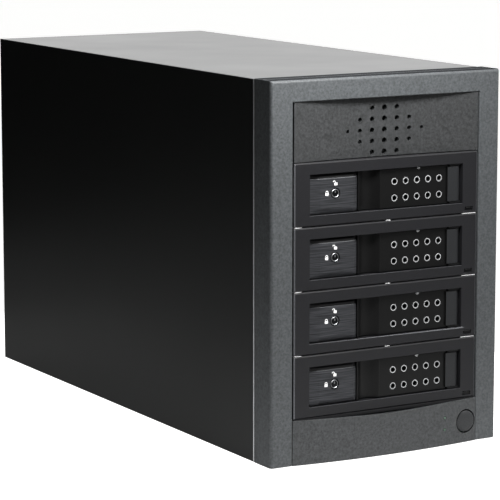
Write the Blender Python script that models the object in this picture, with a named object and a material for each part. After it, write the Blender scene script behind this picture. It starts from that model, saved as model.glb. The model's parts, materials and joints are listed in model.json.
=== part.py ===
"""Four-bay storage tower: steel case, moulded front and four drawer modules.

Frame: X to the right seen from the front, Y to the back, Z up.  The origin is
the middle of the bounding box at the surface that the feet stand on.
"""
import math

import bmesh
import bpy
from mathutils import Matrix, Vector

# ---------------------------------------------------------------- driving sizes
# Overall size and clearances, all in metres.
CASE_HEIGHT = 0.258        # moulded front, without the feet
CASE_DEPTH = 0.424         # face of the moulded front to the cover's rear edge
FOOT_HEIGHT = 0.002
FOOT_RADIUS = 0.008
FOOT_SETBACK = 0.030       # foot centre from the front face and the rear edge
FOOT_INSET = 0.022         # foot centre from the side of the case
TOUCH_GAP = 0.0003         # gap kept between pieces that rest on each other
SLIDE_GAP = 0.0004         # gap on each side of a piece that slides

# Moulded front.
COLUMN_WIDTH = 0.01675
TOP_BAR_HEIGHT = 0.0148
FRONT_DEPTH = 0.022
FRONT_WALL = 0.0025
FRONT_ROUND = 0.0025
SIDE_REVEAL = 0.00125      # dark line between a column and the bays
PANEL_WALL = 0.003

# Steel case.
SHEET = 0.001
COVER_STEP = 0.0005        # the cover is this much smaller than the front
PAN_FLANGE = 0.015
REAR_SETBACK = 0.002       # rear panel inside the cover's rear edge
CAGE_DEPTH = 0.175
CAGE_FOOT = 0.011
CAGE_SLOT_LENGTH = 0.016
CAGE_SLOT_HEIGHT = 0.0045
CAGE_SLOT_SHARES = (0.3, 0.75)  # places along the cage
EXHAUST_SLOT_WIDTH = 0.0035
EXHAUST_SLOT_PITCH = 0.0075
EXHAUST_SLOT_COUNT = 8
EXHAUST_GAP = 0.014        # first slot's middle from the supply's side

# Bays.
BAY_COUNT = 4
BAY_PITCH = 0.043
BAY_WIDTH = 0.146
BAY_REVEAL = 0.0005        # gap between two bay fronts
BAY_FRONT_DEPTH = 0.012
POCKET_WIDTH = 0.122
POCKET_HEIGHT = 0.0275
POCKET_SHIFT_Z = -0.0005
SLEEVE_REVEAL = 0.0025     # gap between two sleeves
SLEEVE_DEPTH = 0.164
LEDGE_THICK = 0.001
BAY_LED_WIDTH = 0.0058
BAY_LED_HEIGHT = 0.002
BAY_LED_DEPTH = 0.007
BAY_LED_X = 0.0663
BAY_LED_RISE = 0.0032      # above the lower edge of the bay front

# Tray, its handle, release plate and lock.
DRIVE_WIDTH = 0.1016
DRIVE_LENGTH = 0.147
DRIVE_GAP = 0.0005
TRAY_FACE_BACKSET = 0.0093 # face plate behind the bay front
TRAY_FACE_THICK = 0.003
RAIL_THICK = 0.003
RAIL_HEIGHT = 0.017
RUNNER_WIDTH = 0.0032
RUNNER_HEIGHT = 0.004
RUNNER_RISE = 0.004        # above the rail's lower edge
RELEASE_WIDTH = 0.0366
RELEASE_THICK = 0.005
RELEASE_BACKSET = 0.0015
RELEASE_MARGIN = 0.0012    # release plate from the tray face's left edge
LOCK_RADIUS = 0.0034
LOCK_SHIFT = 0.0008        # lock centre right of the release plate's middle
KEYWAY_WIDTH = 0.0009
KEYWAY_HEIGHT = 0.0044
HANDLE_BACKSET = 0.002
HANDLE_THICK = 0.0045
GRIP_WIDTH = 0.0182
GRIP_BACK = 0.0084         # back of the grip behind the bay front
GRIP_SCOOP = 0.0038
SCREEN_WIDTH = 0.0544
SCREEN_DROP = 0.0006
STRIP_WIDTH = 0.0067
STRIP_RISE = 0.0008
EAR_THICK = 0.0012
PIN_RADIUS = 0.0009
PIN_INSET = 0.0024         # hinge axis from the tray face's right edge
PIN_BACKSET = 0.0036
KNUCKLE_RADIUS = 0.0019
HOLE_PITCH_X = 0.00903
HOLE_PITCH_Z = 0.0112
HOLE_RADIUS = 0.0016
HOLE_SHIFT_X = 0.002       # hole pattern right of the screen's middle
HOLE_DROP = 0.001          # and below the handle's middle
HOLE_COLUMNS = 5
HOLE_ROWS = 2
TRAY_VENT_HEIGHT = 0.018
TRAY_STEP = 0.001          # setback of one tray feature from the next
GRIP_MARGIN = 0.0008       # flat land on each side of the scoop
STRIP_LAP = 0.001          # end strip laps the screen by this much
BACKPLANE_GAP = 0.004      # backplane behind the tray
PLUG_WIDTH = 0.042
PLUG_HEIGHT = 0.006
PLUG_DEPTH = 0.0035
PLUG_X = -0.006
PLUG_DROP = 0.006          # below the middle of the bay

# Upper vent panel.
VENT_PITCH_X = 0.0098
VENT_PITCH_Z = 0.0074
VENT_RISE = 0.018          # middle row above the panel's lower edge
VENT_DISH = 0.0045         # the panel is this much deeper in the middle
VENT_ROWS = (1, 2, 3, 2, 1)  # holes on each side of the middle column
VENT_CENTRE_RADIUS = 0.002
VENT_SHRINK = 0.00022      # each column outward is this much smaller

# Lower panel with the power button and two lamps.
LOWER_PANEL_HEIGHT = 0.031
PANEL_BOW = 0.005
PANEL_SAG = 0.002
PANEL_FLOOR = 0.002
PANEL_STEPS = 16
BUTTON_RADIUS = 0.0075
BUTTON_WELL_GAP = 0.0009
BUTTON_X = 0.065
BUTTON_Z = 0.0148
BUTTON_DOME = 0.0012
BUTTON_PROUD = 0.0007
BUTTON_LENGTH = 0.009
BUTTON_TRAVEL = 0.0015
BUTTON_DOME_STEPS = ((0.86, 0.45), (0.62, 0.80), (0.30, 1.0))  # shares of radius and rise
SWITCH_SIZE = 0.006
SWITCH_HEIGHT = 0.003
SWITCH_BOARD_HEIGHT = 0.022
SWITCH_BOARD_MARGINS = (0.006, 0.007)  # past the lamps and past the button's middle
LAMP_RADIUS = 0.001
LAMP_X = 0.0465
LAMP_PITCH = 0.0084
LAMP_RISE = 0.0153         # middle of the two lamps
LAMP_LENGTH = 0.006

# Rear fan.
FAN_SIZE = 0.120
FAN_DEPTH = 0.025
FAN_BORE_RADIUS = 0.057
FAN_HUB_RADIUS = 0.019
FAN_TIP_GAP = 0.0025
FAN_RISE = 0.131           # fan centre above the case's lower edge
FAN_STRUT = 0.005
FAN_STRUT_DEPTH = 0.003
BLADE_COUNT = 7
BLADE_THICK = 0.0014
BLADE_PITCH = math.radians(38)
BLADE_ROOT = 0.0015        # blade sunk into its hub
FAN_CHORD = 0.020
FAN_SETBACK = 0.001        # rotor behind the frame's inner face
STRUT_LAP = 0.001          # strut sunk into the frame
GUARD_RINGS = 4
GUARD_WIRE = 0.0016

# Power supply.
PSU_WIDTH = 0.0815
PSU_HEIGHT = 0.0405
PSU_DEPTH = 0.150
PSU_X = -0.036
PSU_TOP_GAP = 0.008        # below the cover's inner face
PSU_LIP = 0.0025           # rear panel laps the supply's face by this much
PSU_FAN_RADIUS = 0.0175
PSU_FAN_HUB = 0.0085
PSU_FAN_SHIFT = 0.0185
PSU_FAN_DEPTH = 0.010
PSU_FAN_CHORD = 0.008
PSU_SLOT_COUNT = 6
PSU_SLOT_PITCH = 0.011
PSU_SLOT_WIDTH = 0.006
PSU_SLOT_MARGIN = 0.007    # slot ends from the case's upper and lower faces
INLET_WIDTH = 0.027
INLET_HEIGHT = 0.0195
INLET_DEPTH = 0.016
INLET_SHIFT_X = -0.0205
INLET_SHIFT_Z = -0.0045
INLET_RIM = 0.0022
INLET_FLOOR = 0.003
MAINS_PIN_WIDTH = 0.002
MAINS_PIN_HEIGHT = 0.004
MAINS_PIN_PLACES = ((-0.007, -0.002), (0, 0.002), (0.007, -0.002))
MAINS_PIN_SETBACK = 0.003  # pin tips behind the inlet's face
ROCKER_WIDTH = 0.014
ROCKER_HEIGHT = 0.0075
ROCKER_DEPTH = 0.006
ROCKER_GAP = 0.0008
ROCKER_LIFT = 0.0022       # between the inlet and the rocker

# Controller board and its sockets.
BOARD_WIDTH = 0.150
BOARD_DEPTH = 0.110
BOARD_THICK = 0.0016
BOARD_RISE = 0.006         # board's lower face above the pan
STANDOFF_RADIUS = 0.003
STANDOFF_INSET = 0.008
LAN_SIZE = (0.016, 0.021, 0.0135)
LAN_X = -0.045
USB_SIZE = (0.0145, 0.018, 0.0160)
USB_X = -0.015
SOCKET_WALL = 0.0016
SOCKET_SHELF = 0.00128     # wall above and below each mouth
SOCKET_MOUTH = 0.7         # share of a socket's depth that is open
SINK_SIZE = 0.040
SINK_HEIGHT = 0.020
SINK_FINS = 8
SINK_BASE = 0.003
SINK_X = 0.030
SINK_SHIFT_Y = -0.008      # forward of the board's middle

# Round shapes.
FINE = 32
MEDIUM = 20
SMALL = 10

# --------------------------------------------------------------- derived places
OPENING_HALF = BAY_WIDTH / 2 + SIDE_REVEAL
CASE_HALF = OPENING_HALF + COLUMN_WIDTH
FRONT_Y = -(CASE_DEPTH + PANEL_BOW) / 2 + PANEL_BOW
REAR_Y = FRONT_Y + CASE_DEPTH
BASE_Z = FOOT_HEIGHT
TOP_Z = BASE_Z + CASE_HEIGHT
BACK_OF_FRONT = FRONT_Y + FRONT_DEPTH
COVER_HALF = CASE_HALF - COVER_STEP
COVER_TOP = TOP_Z - COVER_STEP
INSIDE_HALF = COVER_HALF - SHEET - TOUCH_GAP
INSIDE_TOP = COVER_TOP - SHEET - TOUCH_GAP
PAN_TOP = BASE_Z + SHEET
FRONT_PLATE_Y = BACK_OF_FRONT + TOUCH_GAP
CAGE_Y = FRONT_PLATE_Y + SHEET + TOUCH_GAP
REAR_PANEL_Y = REAR_Y - REAR_SETBACK - SHEET
BAYS_LOW = BASE_Z + LOWER_PANEL_HEIGHT
BAYS_HIGH = BAYS_LOW + BAY_COUNT * BAY_PITCH
SLEEVE_HEIGHT = BAY_PITCH - SLEEVE_REVEAL
OPENING_TOP = TOP_Z - TOP_BAR_HEIGHT
FAN_Z = BASE_Z + FAN_RISE
FAN_FRAME_Y = REAR_PANEL_Y - TOUCH_GAP - FAN_DEPTH


def span(middle, size):
    """Low and high ends of a length centred on middle."""
    return (middle - size / 2, middle + size / 2)


def grown(ends, margin):
    """The same span with a margin added at both ends."""
    return (ends[0] - margin, ends[1] + margin)


# ------------------------------------------------------------- modelling helpers
def box(bm, x, y, z):
    """Add a closed box between the given low and high ends."""
    verts = bmesh.ops.create_cube(bm, size=1.0)["verts"]
    size = (x[1] - x[0], y[1] - y[0], z[1] - z[0])
    middle = ((x[0] + x[1]) / 2, (y[0] + y[1]) / 2, (z[0] + z[1]) / 2)
    bmesh.ops.scale(bm, vec=size, verts=verts)
    bmesh.ops.translate(bm, vec=middle, verts=verts)
    return verts


def rod(bm, radius, middle, length, axis, segments=MEDIUM, end_radius=None):
    """Add a closed round bar along X, Y or Z, centred on middle."""
    turn = {"X": Matrix.Rotation(math.pi / 2, 4, "Y"),
            "Y": Matrix.Rotation(-math.pi / 2, 4, "X"),
            "Z": Matrix.Identity(4)}[axis]
    place = Matrix.Translation(middle) @ turn
    end_radius = radius if end_radius is None else end_radius
    made = bmesh.ops.create_cone(
        bm, cap_ends=True, segments=segments, radius1=radius,
        radius2=end_radius, depth=length, matrix=place)
    return made["verts"]


def prism(bm, outline, low, high, axis):
    """Extrude a closed outline along Y (outline in x, z) or Z (in x, y)."""
    def lift(point):
        if axis == "Y":
            return (point[0], low, point[1])
        return (point[0], point[1], low)

    face = bm.faces.new([bm.verts.new(lift(point)) for point in outline])
    made = bmesh.ops.extrude_face_region(bm, geom=[face], use_keep_orig=True)
    new = [item for item in made["geom"] if isinstance(item, bmesh.types.BMVert)]
    step = (0, high - low, 0) if axis == "Y" else (0, 0, high - low)
    bmesh.ops.translate(bm, vec=step, verts=new)
    bmesh.ops.recalc_face_normals(bm, faces=bm.faces)
    return bm.verts


def arc(centre, radius, start, stop, steps):
    """Points on an arc, angles in radians."""
    points = []
    for index in range(steps + 1):
        angle = start + (stop - start) * index / steps
        points.append((centre[0] + radius * math.cos(angle),
                       centre[1] + radius * math.sin(angle)))
    return points


def finish_of(name, colour, roughness, metallic):
    """A Principled material with one piece's colour, gloss and metal value."""
    material = bpy.data.materials.new(name)
    material.use_nodes = True
    shader = material.node_tree.nodes["Principled BSDF"]
    shader.inputs["Base Color"].default_value = (*colour, 1.0)
    shader.inputs["Roughness"].default_value = roughness
    shader.inputs["Metallic"].default_value = metallic
    return material


BLACK_PLASTIC = ((0.030, 0.031, 0.033), 0.45, 0.0)
GLOSS_PLASTIC = ((0.010, 0.010, 0.011), 0.25, 0.0)
BLACK_PAINT = ((0.020, 0.020, 0.021), 0.35, 0.0)
BARE_STEEL = ((0.560, 0.560, 0.570), 0.35, 1.0)
BLACK_RUBBER = ((0.015, 0.015, 0.015), 0.85, 0.0)
GREEN_BOARD = ((0.020, 0.100, 0.050), 0.50, 0.0)
GREEN_LAMP = ((0.100, 0.350, 0.150), 0.20, 0.0)
ALUMINIUM = ((0.700, 0.700, 0.720), 0.30, 1.0)


def mesh_object(name, bm, origin):
    """Write a bmesh to an object whose origin is at the given place."""
    bmesh.ops.translate(bm, vec=-Vector(origin), verts=bm.verts)
    mesh = bpy.data.meshes.new(name)
    bm.to_mesh(mesh)
    bm.free()
    made = bpy.data.objects.new(name, mesh)
    bpy.context.scene.collection.objects.link(made)
    return made


def piece(name, bm, look, origin=(0, 0, 0), parent=None, smooth=False):
    """Make one sub-part, with its own material, at its joint or at the origin."""
    made = mesh_object(name, bm, origin)
    made["place"] = origin
    made.location = origin
    if parent is not None:
        made.parent = parent
        made.location = Vector(origin) - Vector(parent["place"])
    made.data.materials.append(finish_of(name, *look))
    if smooth:
        made.data.shade_smooth()
        made.data.set_sharp_from_angle(angle=math.radians(35))
    return made


def boolean(target, bm, operation):
    """Add or cut a hidden shape, given in world places, to or from target."""
    tool = mesh_object(f"{target.name}_{operation.lower()}", bm, (0, 0, 0))
    tool.hide_render = True
    tool.display_type = "WIRE"
    modifier = target.modifiers.new(operation.title(), "BOOLEAN")
    modifier.operation = operation
    modifier.solver = "EXACT"
    modifier.object = tool


def cut(target, bm):
    boolean(target, bm, "DIFFERENCE")


def add(target, bm):
    boolean(target, bm, "UNION")


# -------------------------------------------------------------------- steel case
def make_pan():
    """Base pan: a sheet with both sides bent up inside the cover."""
    outer = INSIDE_HALF
    inner = outer - SHEET
    top = BASE_Z + PAN_FLANGE
    outline = [(-outer, BASE_Z), (outer, BASE_Z), (outer, top), (inner, top),
               (inner, PAN_TOP), (-inner, PAN_TOP), (-inner, top), (-outer, top)]
    bm = bmesh.new()
    prism(bm, outline, CAGE_Y, REAR_PANEL_Y - TOUCH_GAP, "Y")
    return piece("base_pan", bm, BARE_STEEL)


def make_cover():
    """Cover: one sheet bent over the top and both sides."""
    inner = COVER_HALF - SHEET
    inner_top = COVER_TOP - SHEET
    outline = [(-COVER_HALF, BASE_Z), (-inner, BASE_Z), (-inner, inner_top),
               (inner, inner_top), (inner, BASE_Z), (COVER_HALF, BASE_Z),
               (COVER_HALF, COVER_TOP), (-COVER_HALF, COVER_TOP)]
    bm = bmesh.new()
    prism(bm, outline, FRONT_PLATE_Y, REAR_Y, "Y")
    return piece("top_cover", bm, BLACK_PAINT)


def make_front_plate():
    """Steel front behind the moulding, open at the bays and the vent."""
    low = PAN_TOP + TOUCH_GAP
    bm = bmesh.new()
    y = (FRONT_PLATE_Y, FRONT_PLATE_Y + SHEET)
    box(bm, (-INSIDE_HALF, INSIDE_HALF), y, (low, INSIDE_TOP))
    plate = piece("front_plate", bm, BARE_STEEL)
    holes = bmesh.new()
    half = BAY_WIDTH / 2 + TOUCH_GAP
    box(holes, (-half, half), grown(y, SHEET), (BAYS_LOW - TOUCH_GAP, BAYS_HIGH))
    vent = grown((BAYS_HIGH, OPENING_TOP), -CAGE_FOOT)
    box(holes, (-half, half), grown(y, SHEET), vent)
    cut(plate, holes)
    return plate


def make_cage_side(name, side):
    """One side of the drive cage, with a foot flange and screw slots."""
    near = BAY_WIDTH / 2 + TOUCH_GAP
    low = PAN_TOP + TOUCH_GAP
    far = near + SHEET
    foot = near + CAGE_FOOT
    outline = [(side * near, low), (side * foot, low), (side * foot, low + SHEET),
               (side * far, low + SHEET), (side * far, BAYS_HIGH),
               (side * near, BAYS_HIGH)]
    bm = bmesh.new()
    prism(bm, outline, CAGE_Y, CAGE_Y + CAGE_DEPTH, "Y")
    plate = piece(name, bm, BARE_STEEL)
    slots = bmesh.new()
    for bay in range(1, BAY_COUNT + 1):
        for share in CAGE_SLOT_SHARES:
            box(slots, span(side * near, 4 * SHEET),
                span(CAGE_Y + CAGE_DEPTH * share, CAGE_SLOT_LENGTH),
                span(bay_z(bay), CAGE_SLOT_HEIGHT))
    cut(plate, slots)
    return plate


def make_rear_panel():
    """Rear panel, open at the fan, the power supply and the sockets."""
    low = PAN_TOP + TOUCH_GAP
    y = (REAR_PANEL_Y, REAR_PANEL_Y + SHEET)
    through = grown(y, SHEET)
    bm = bmesh.new()
    box(bm, (-INSIDE_HALF, INSIDE_HALF), y, (low, INSIDE_TOP))
    panel = piece("rear_panel", bm, BLACK_PAINT)
    holes = bmesh.new()
    rod(holes, FAN_BORE_RADIUS, (0, REAR_PANEL_Y, FAN_Z), 4 * SHEET, "Y", FINE)
    box(holes, span(PSU_X, PSU_WIDTH - 2 * PSU_LIP), through,
        span(psu_z(), PSU_HEIGHT - 2 * PSU_LIP))
    for x, size in ((LAN_X, LAN_SIZE), (USB_X, USB_SIZE)):
        box(holes, span(x, size[0] + 2 * TOUCH_GAP), through,
            (socket_low() - TOUCH_GAP, socket_low() + size[2] + TOUCH_GAP))
    slot_left = PSU_X + PSU_WIDTH / 2 + EXHAUST_GAP
    for index in range(EXHAUST_SLOT_COUNT):
        slot_x = slot_left + index * EXHAUST_SLOT_PITCH
        box(holes, span(slot_x, EXHAUST_SLOT_WIDTH), through,
            span(psu_z(), PSU_HEIGHT - 4 * PSU_LIP))
    cut(panel, holes)
    return panel


def make_feet():
    """Four low rubber feet under the pan."""
    ends = (("front", FRONT_Y + FOOT_SETBACK), ("rear", REAR_Y - FOOT_SETBACK))
    for end, y in ends:
        for side, sign in (("left", -1), ("right", 1)):
            height = FOOT_HEIGHT - TOUCH_GAP
            place = (sign * (CASE_HALF - FOOT_INSET), y, height / 2)
            bm = bmesh.new()
            rod(bm, FOOT_RADIUS, place, height, "Z", MEDIUM)
            piece(f"foot_{end}_{side}", bm, BLACK_RUBBER, smooth=True)


# ----------------------------------------------------------------- moulded front
def make_front_frame():
    """Moulded frame: two columns and a top bar, hollow from behind."""
    bm = bmesh.new()
    box(bm, (-CASE_HALF, CASE_HALF), (FRONT_Y, BACK_OF_FRONT), (BASE_Z, TOP_Z))
    rounded = []
    for edge in bm.edges:
        ends = [vert.co for vert in edge.verts]
        at_front = all(abs(co.y - FRONT_Y) < 1e-6 for co in ends)
        at_base = all(abs(co.z - BASE_Z) < 1e-6 for co in ends)
        if at_front and not at_base:
            rounded.append(edge)
    bmesh.ops.bevel(bm, geom=rounded, offset=FRONT_ROUND, segments=3,
                    profile=0.5, affect="EDGES", material=-1)
    frame = piece("front_frame", bm, BLACK_PLASTIC)
    opening = bmesh.new()
    box(opening, (-OPENING_HALF, OPENING_HALF),
        grown((FRONT_Y, BACK_OF_FRONT), FRONT_WALL), (BASE_Z - FRONT_WALL, OPENING_TOP))
    cut(frame, opening)
    hollow = bmesh.new()
    y = (FRONT_Y + FRONT_WALL, BACK_OF_FRONT + FRONT_WALL)
    for sign in (-1, 1):
        ends = sorted((sign * (OPENING_HALF + FRONT_WALL),
                       sign * (CASE_HALF - FRONT_WALL)))
        box(hollow, ends, y, (BASE_Z + FRONT_WALL, OPENING_TOP - FRONT_WALL))
    box(hollow, (-CASE_HALF + FRONT_WALL, CASE_HALF - FRONT_WALL), y,
        (OPENING_TOP + FRONT_WALL, TOP_Z - FRONT_WALL))
    cut(frame, hollow)
    return frame


def vent_front(x):
    """Front face of the dished vent panel at a place across the case."""
    return FRONT_Y + TOUCH_GAP + VENT_DISH * (1 - (x / OPENING_HALF) ** 2)


def make_vent_panel():
    """Upper panel, dished inwards, with a diamond of round vent holes."""
    half = OPENING_HALF - SIDE_REVEAL
    xs = [-half + 2 * half * index / PANEL_STEPS for index in range(PANEL_STEPS + 1)]
    outline = [(x, vent_front(x)) for x in xs]
    outline += [(x, vent_front(x) + PANEL_WALL) for x in reversed(xs)]
    bm = bmesh.new()
    prism(bm, outline, BAYS_HIGH + TOUCH_GAP, OPENING_TOP - TOUCH_GAP, "Z")
    panel = piece("vent_panel", bm, BLACK_PLASTIC)
    holes = bmesh.new()
    for row, reach in enumerate(VENT_ROWS):
        z = BAYS_HIGH + VENT_RISE + (row - (len(VENT_ROWS) - 1) / 2) * VENT_PITCH_Z
        for column in range(-reach, reach + 1):
            radius = VENT_CENTRE_RADIUS - VENT_SHRINK * abs(column)
            x = column * VENT_PITCH_X
            rod(holes, radius, (x, vent_front(x), z), 4 * PANEL_WALL, "Y", SMALL)
    cut(panel, holes)
    return panel


def panel_front(x):
    """Front face of the bowed lower panel at a place across the case."""
    return FRONT_Y - PANEL_BOW * (1 - (x / OPENING_HALF) ** 2)


def make_lower_panel():
    """Lower panel: bowed outwards, its upper edge sagging in the middle."""
    half = OPENING_HALF - TOUCH_GAP
    xs = [-half + 2 * half * index / PANEL_STEPS for index in range(PANEL_STEPS + 1)]
    outline = [(x, panel_front(x)) for x in xs]
    outline += [(x, panel_front(x) + PANEL_WALL) for x in reversed(xs)]
    low = BASE_Z
    high = BAYS_LOW - TOUCH_GAP
    bm = bmesh.new()
    prism(bm, outline, low, high, "Z")
    for vert in bm.verts:
        if vert.co.z > high - 1e-6:
            vert.co.z -= PANEL_SAG * (1 - (vert.co.x / half) ** 2)
    panel = piece("lower_panel", bm, BLACK_PLASTIC)
    inside = -PANEL_WALL / 2
    outline = [(x, panel_front(x) - inside) for x in (xs[0] - inside, *xs[1:-1], xs[-1] + inside)]
    outline += [(half + inside, BACK_OF_FRONT), (-half - inside, BACK_OF_FRONT)]
    floor = bmesh.new()
    prism(floor, outline, low + TOUCH_GAP, low + TOUCH_GAP + PANEL_FLOOR, "Z")
    add(panel, floor)
    holes = bmesh.new()
    reach = 4 * PANEL_WALL
    rod(holes, BUTTON_RADIUS + BUTTON_WELL_GAP,
        (BUTTON_X, panel_front(BUTTON_X), BASE_Z + BUTTON_Z), reach, "Y", FINE)
    for sign in (-1, 1):
        place = (LAMP_X, panel_front(LAMP_X), lamp_z(sign))
        rod(holes, LAMP_RADIUS + TOUCH_GAP, place, reach, "Y", SMALL)
    cut(panel, holes)
    return panel


def lamp_z(sign):
    """Height of the upper (+1) or lower (-1) lamp on the lower panel."""
    return BASE_Z + LAMP_RISE + sign * LAMP_PITCH / 2


def button_back():
    """Rear end of the power button at rest."""
    return panel_front(BUTTON_X) - BUTTON_PROUD + BUTTON_LENGTH


def make_power_controls():
    """Power button, its switch board and the two lamps."""
    front = button_back() - BUTTON_LENGTH
    middle_z = BASE_Z + BUTTON_Z
    bm = bmesh.new()
    body = BUTTON_LENGTH - BUTTON_DOME
    rod(bm, BUTTON_RADIUS, (BUTTON_X, front + BUTTON_DOME + body / 2, middle_z),
        body, "Y", FINE)
    cap = min((face for face in bm.faces if len(face.verts) == FINE),
              key=lambda face: face.calc_center_median().y)
    for radius_share, rise_share in BUTTON_DOME_STEPS:
        target = front + BUTTON_DOME * (1 - rise_share)
        made = bmesh.ops.extrude_face_region(bm, geom=[cap])["geom"]
        ring = [item for item in made if isinstance(item, bmesh.types.BMVert)]
        for vert in ring:
            outward = Vector((vert.co.x - BUTTON_X, 0, vert.co.z - middle_z))
            outward.normalize()
            radius = BUTTON_RADIUS * radius_share
            vert.co = (BUTTON_X + outward.x * radius, target,
                       middle_z + outward.z * radius)
        if cap.is_valid:
            bmesh.ops.delete(bm, geom=[cap], context="FACES_ONLY")
        cap = next(item for item in made if isinstance(item, bmesh.types.BMFace))
    place = (BUTTON_X, button_back(), middle_z)
    piece("power_button", bm, BLACK_PLASTIC, origin=place, smooth=True)

    board = bmesh.new()
    switch_y = button_back() + BUTTON_TRAVEL + TOUCH_GAP
    board_y = switch_y + SWITCH_HEIGHT
    board_x = (LAMP_X - SWITCH_BOARD_MARGINS[0], BUTTON_X + SWITCH_BOARD_MARGINS[1])
    box(board, board_x, (board_y, board_y + BOARD_THICK),
        span(middle_z, SWITCH_BOARD_HEIGHT))
    plate = piece("switch_board", board, GREEN_BOARD)
    switch = bmesh.new()
    box(switch, span(BUTTON_X, SWITCH_SIZE), (switch_y, board_y + BOARD_THICK / 2),
        span(middle_z, SWITCH_SIZE))
    add(plate, switch)

    for name, sign in (("power_lamp", 1), ("disk_lamp", -1)):
        lamp = bmesh.new()
        y = panel_front(LAMP_X) + LAMP_LENGTH / 2
        rod(lamp, LAMP_RADIUS, (LAMP_X, y, lamp_z(sign)), LAMP_LENGTH, "Y", SMALL)
        piece(name, lamp, GREEN_LAMP, smooth=True)


# ------------------------------------------------------------------ bay modules
def bay_z(bay):
    """Middle height of a bay; bay 1 is the top one."""
    return BAYS_LOW + BAY_PITCH * (BAY_COUNT - bay + 0.5)


POCKET_X = span(0, POCKET_WIDTH)
FACE_X = grown(POCKET_X, -SLIDE_GAP)
FACE_HEIGHT = POCKET_HEIGHT - 2 * SLIDE_GAP
RAIL_INNER = DRIVE_WIDTH / 2 + DRIVE_GAP
RAIL_OUTER = RAIL_INNER + RAIL_THICK
RAIL_LOW = -FACE_HEIGHT / 2 + TRAY_STEP
RUNNER_LOW = RAIL_LOW + RUNNER_RISE
FACE_BACK = FRONT_Y + TRAY_FACE_BACKSET + TRAY_FACE_THICK
TRAY_BACK = FACE_BACK + DRIVE_LENGTH + RAIL_THICK
SLEEVE_Y = FRONT_Y + BAY_FRONT_DEPTH + TOUCH_GAP
SLEEVE_BACK = SLEEVE_Y + SLEEVE_DEPTH
BACKPLANE_Y = TRAY_BACK + BACKPLANE_GAP
RELEASE_X = (FACE_X[0] + RELEASE_MARGIN, FACE_X[0] + RELEASE_MARGIN + RELEASE_WIDTH)
GRIP_X = (RELEASE_X[1] + SLIDE_GAP, RELEASE_X[1] + SLIDE_GAP + GRIP_WIDTH)
SCREEN_X = (GRIP_X[1], GRIP_X[1] + SCREEN_WIDTH)
STRIP_X = (SCREEN_X[1], SCREEN_X[1] + STRIP_WIDTH)
PIN_X = FACE_X[1] - PIN_INSET
PIN_Y = FRONT_Y + PIN_BACKSET
HANDLE_HALF = FACE_HEIGHT / 2 - TOUCH_GAP
KNUCKLE_HALF = FACE_HEIGHT / 2 - EAR_THICK - TOUCH_GAP


def make_bay_front(bay, middle):
    """Moulded face of one module, with the pocket and a lamp hole."""
    height = BAY_PITCH - BAY_REVEAL
    y = (FRONT_Y, FRONT_Y + BAY_FRONT_DEPTH)
    bm = bmesh.new()
    box(bm, span(0, BAY_WIDTH), y, span(middle, height))
    face = piece(f"bay_{bay}_front", bm, BLACK_PLASTIC)
    holes = bmesh.new()
    through = grown(y, BAY_FRONT_DEPTH)
    box(holes, POCKET_X, through, span(middle + POCKET_SHIFT_Z, POCKET_HEIGHT))
    lamp_height = middle - height / 2 + BAY_LED_RISE
    box(holes, span(BAY_LED_X, BAY_LED_WIDTH + 2 * TOUCH_GAP), through,
        span(lamp_height, BAY_LED_HEIGHT + 2 * TOUCH_GAP))
    cut(face, holes)
    lens = bmesh.new()
    prism(lens, lens_outline(lamp_height), FRONT_Y, FRONT_Y + BAY_LED_DEPTH, "Y")
    piece(f"bay_{bay}_lamp_lens", lens, GLOSS_PLASTIC, smooth=True)


def lens_outline(height):
    """Oval outline of a bay's lamp lens."""
    radius = BAY_LED_HEIGHT / 2
    reach = BAY_LED_WIDTH / 2 - radius
    quarter = math.pi / 2
    points = arc((BAY_LED_X + reach, height), radius, -quarter, quarter, 4)
    points += arc((BAY_LED_X - reach, height), radius, quarter, 3 * quarter, 4)
    return points


def make_sleeve(bay, middle):
    """Steel sleeve with two pairs of ledges that guide the tray's runners."""
    y = (SLEEVE_Y, SLEEVE_BACK)
    half = BAY_WIDTH / 2
    bm = bmesh.new()
    box(bm, (-half, half), y, span(middle, SLEEVE_HEIGHT))
    sleeve = piece(f"bay_{bay}_sleeve", bm, BARE_STEEL)
    inside = bmesh.new()
    box(inside, grown((-half, half), -SHEET), grown(y, SHEET),
        span(middle, SLEEVE_HEIGHT - 2 * SHEET))
    cut(sleeve, inside)
    ledges = bmesh.new()
    runner = middle + POCKET_SHIFT_Z + RUNNER_LOW
    levels = ((runner - SLIDE_GAP - LEDGE_THICK, runner - SLIDE_GAP),
              (runner + RUNNER_HEIGHT + SLIDE_GAP,
               runner + RUNNER_HEIGHT + SLIDE_GAP + LEDGE_THICK))
    for sign in (-1, 1):
        ends = sorted((sign * (RAIL_OUTER + 2 * SLIDE_GAP), sign * (half - SHEET / 2)))
        for level in levels:
            box(ledges, ends, grown(y, -SHEET), level)
    add(sleeve, ledges)


def make_backplane(bay, middle):
    """Board at the sleeve's rear with the connector that meets the drive."""
    width = BAY_WIDTH - 2 * (SHEET + TOUCH_GAP)
    height = SLEEVE_HEIGHT - 2 * (SHEET + TOUCH_GAP)
    runner = middle + POCKET_SHIFT_Z + RUNNER_LOW
    bm = bmesh.new()
    y = (BACKPLANE_Y, BACKPLANE_Y + BOARD_THICK)
    box(bm, span(0, 2 * RAIL_OUTER), y, span(middle, height))
    board = piece(f"bay_{bay}_backplane", bm, GREEN_BOARD)
    ears = bmesh.new()
    top = runner + RUNNER_HEIGHT + SLIDE_GAP + LEDGE_THICK + TOUCH_GAP
    box(ears, span(0, width), y, (top, middle + height / 2))
    add(board, ears)
    plug = bmesh.new()
    box(plug, span(PLUG_X, PLUG_WIDTH),
        (BACKPLANE_Y - PLUG_DEPTH, BACKPLANE_Y + BOARD_THICK / 2),
        span(middle - PLUG_DROP, PLUG_HEIGHT))
    add(board, plug)


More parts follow.
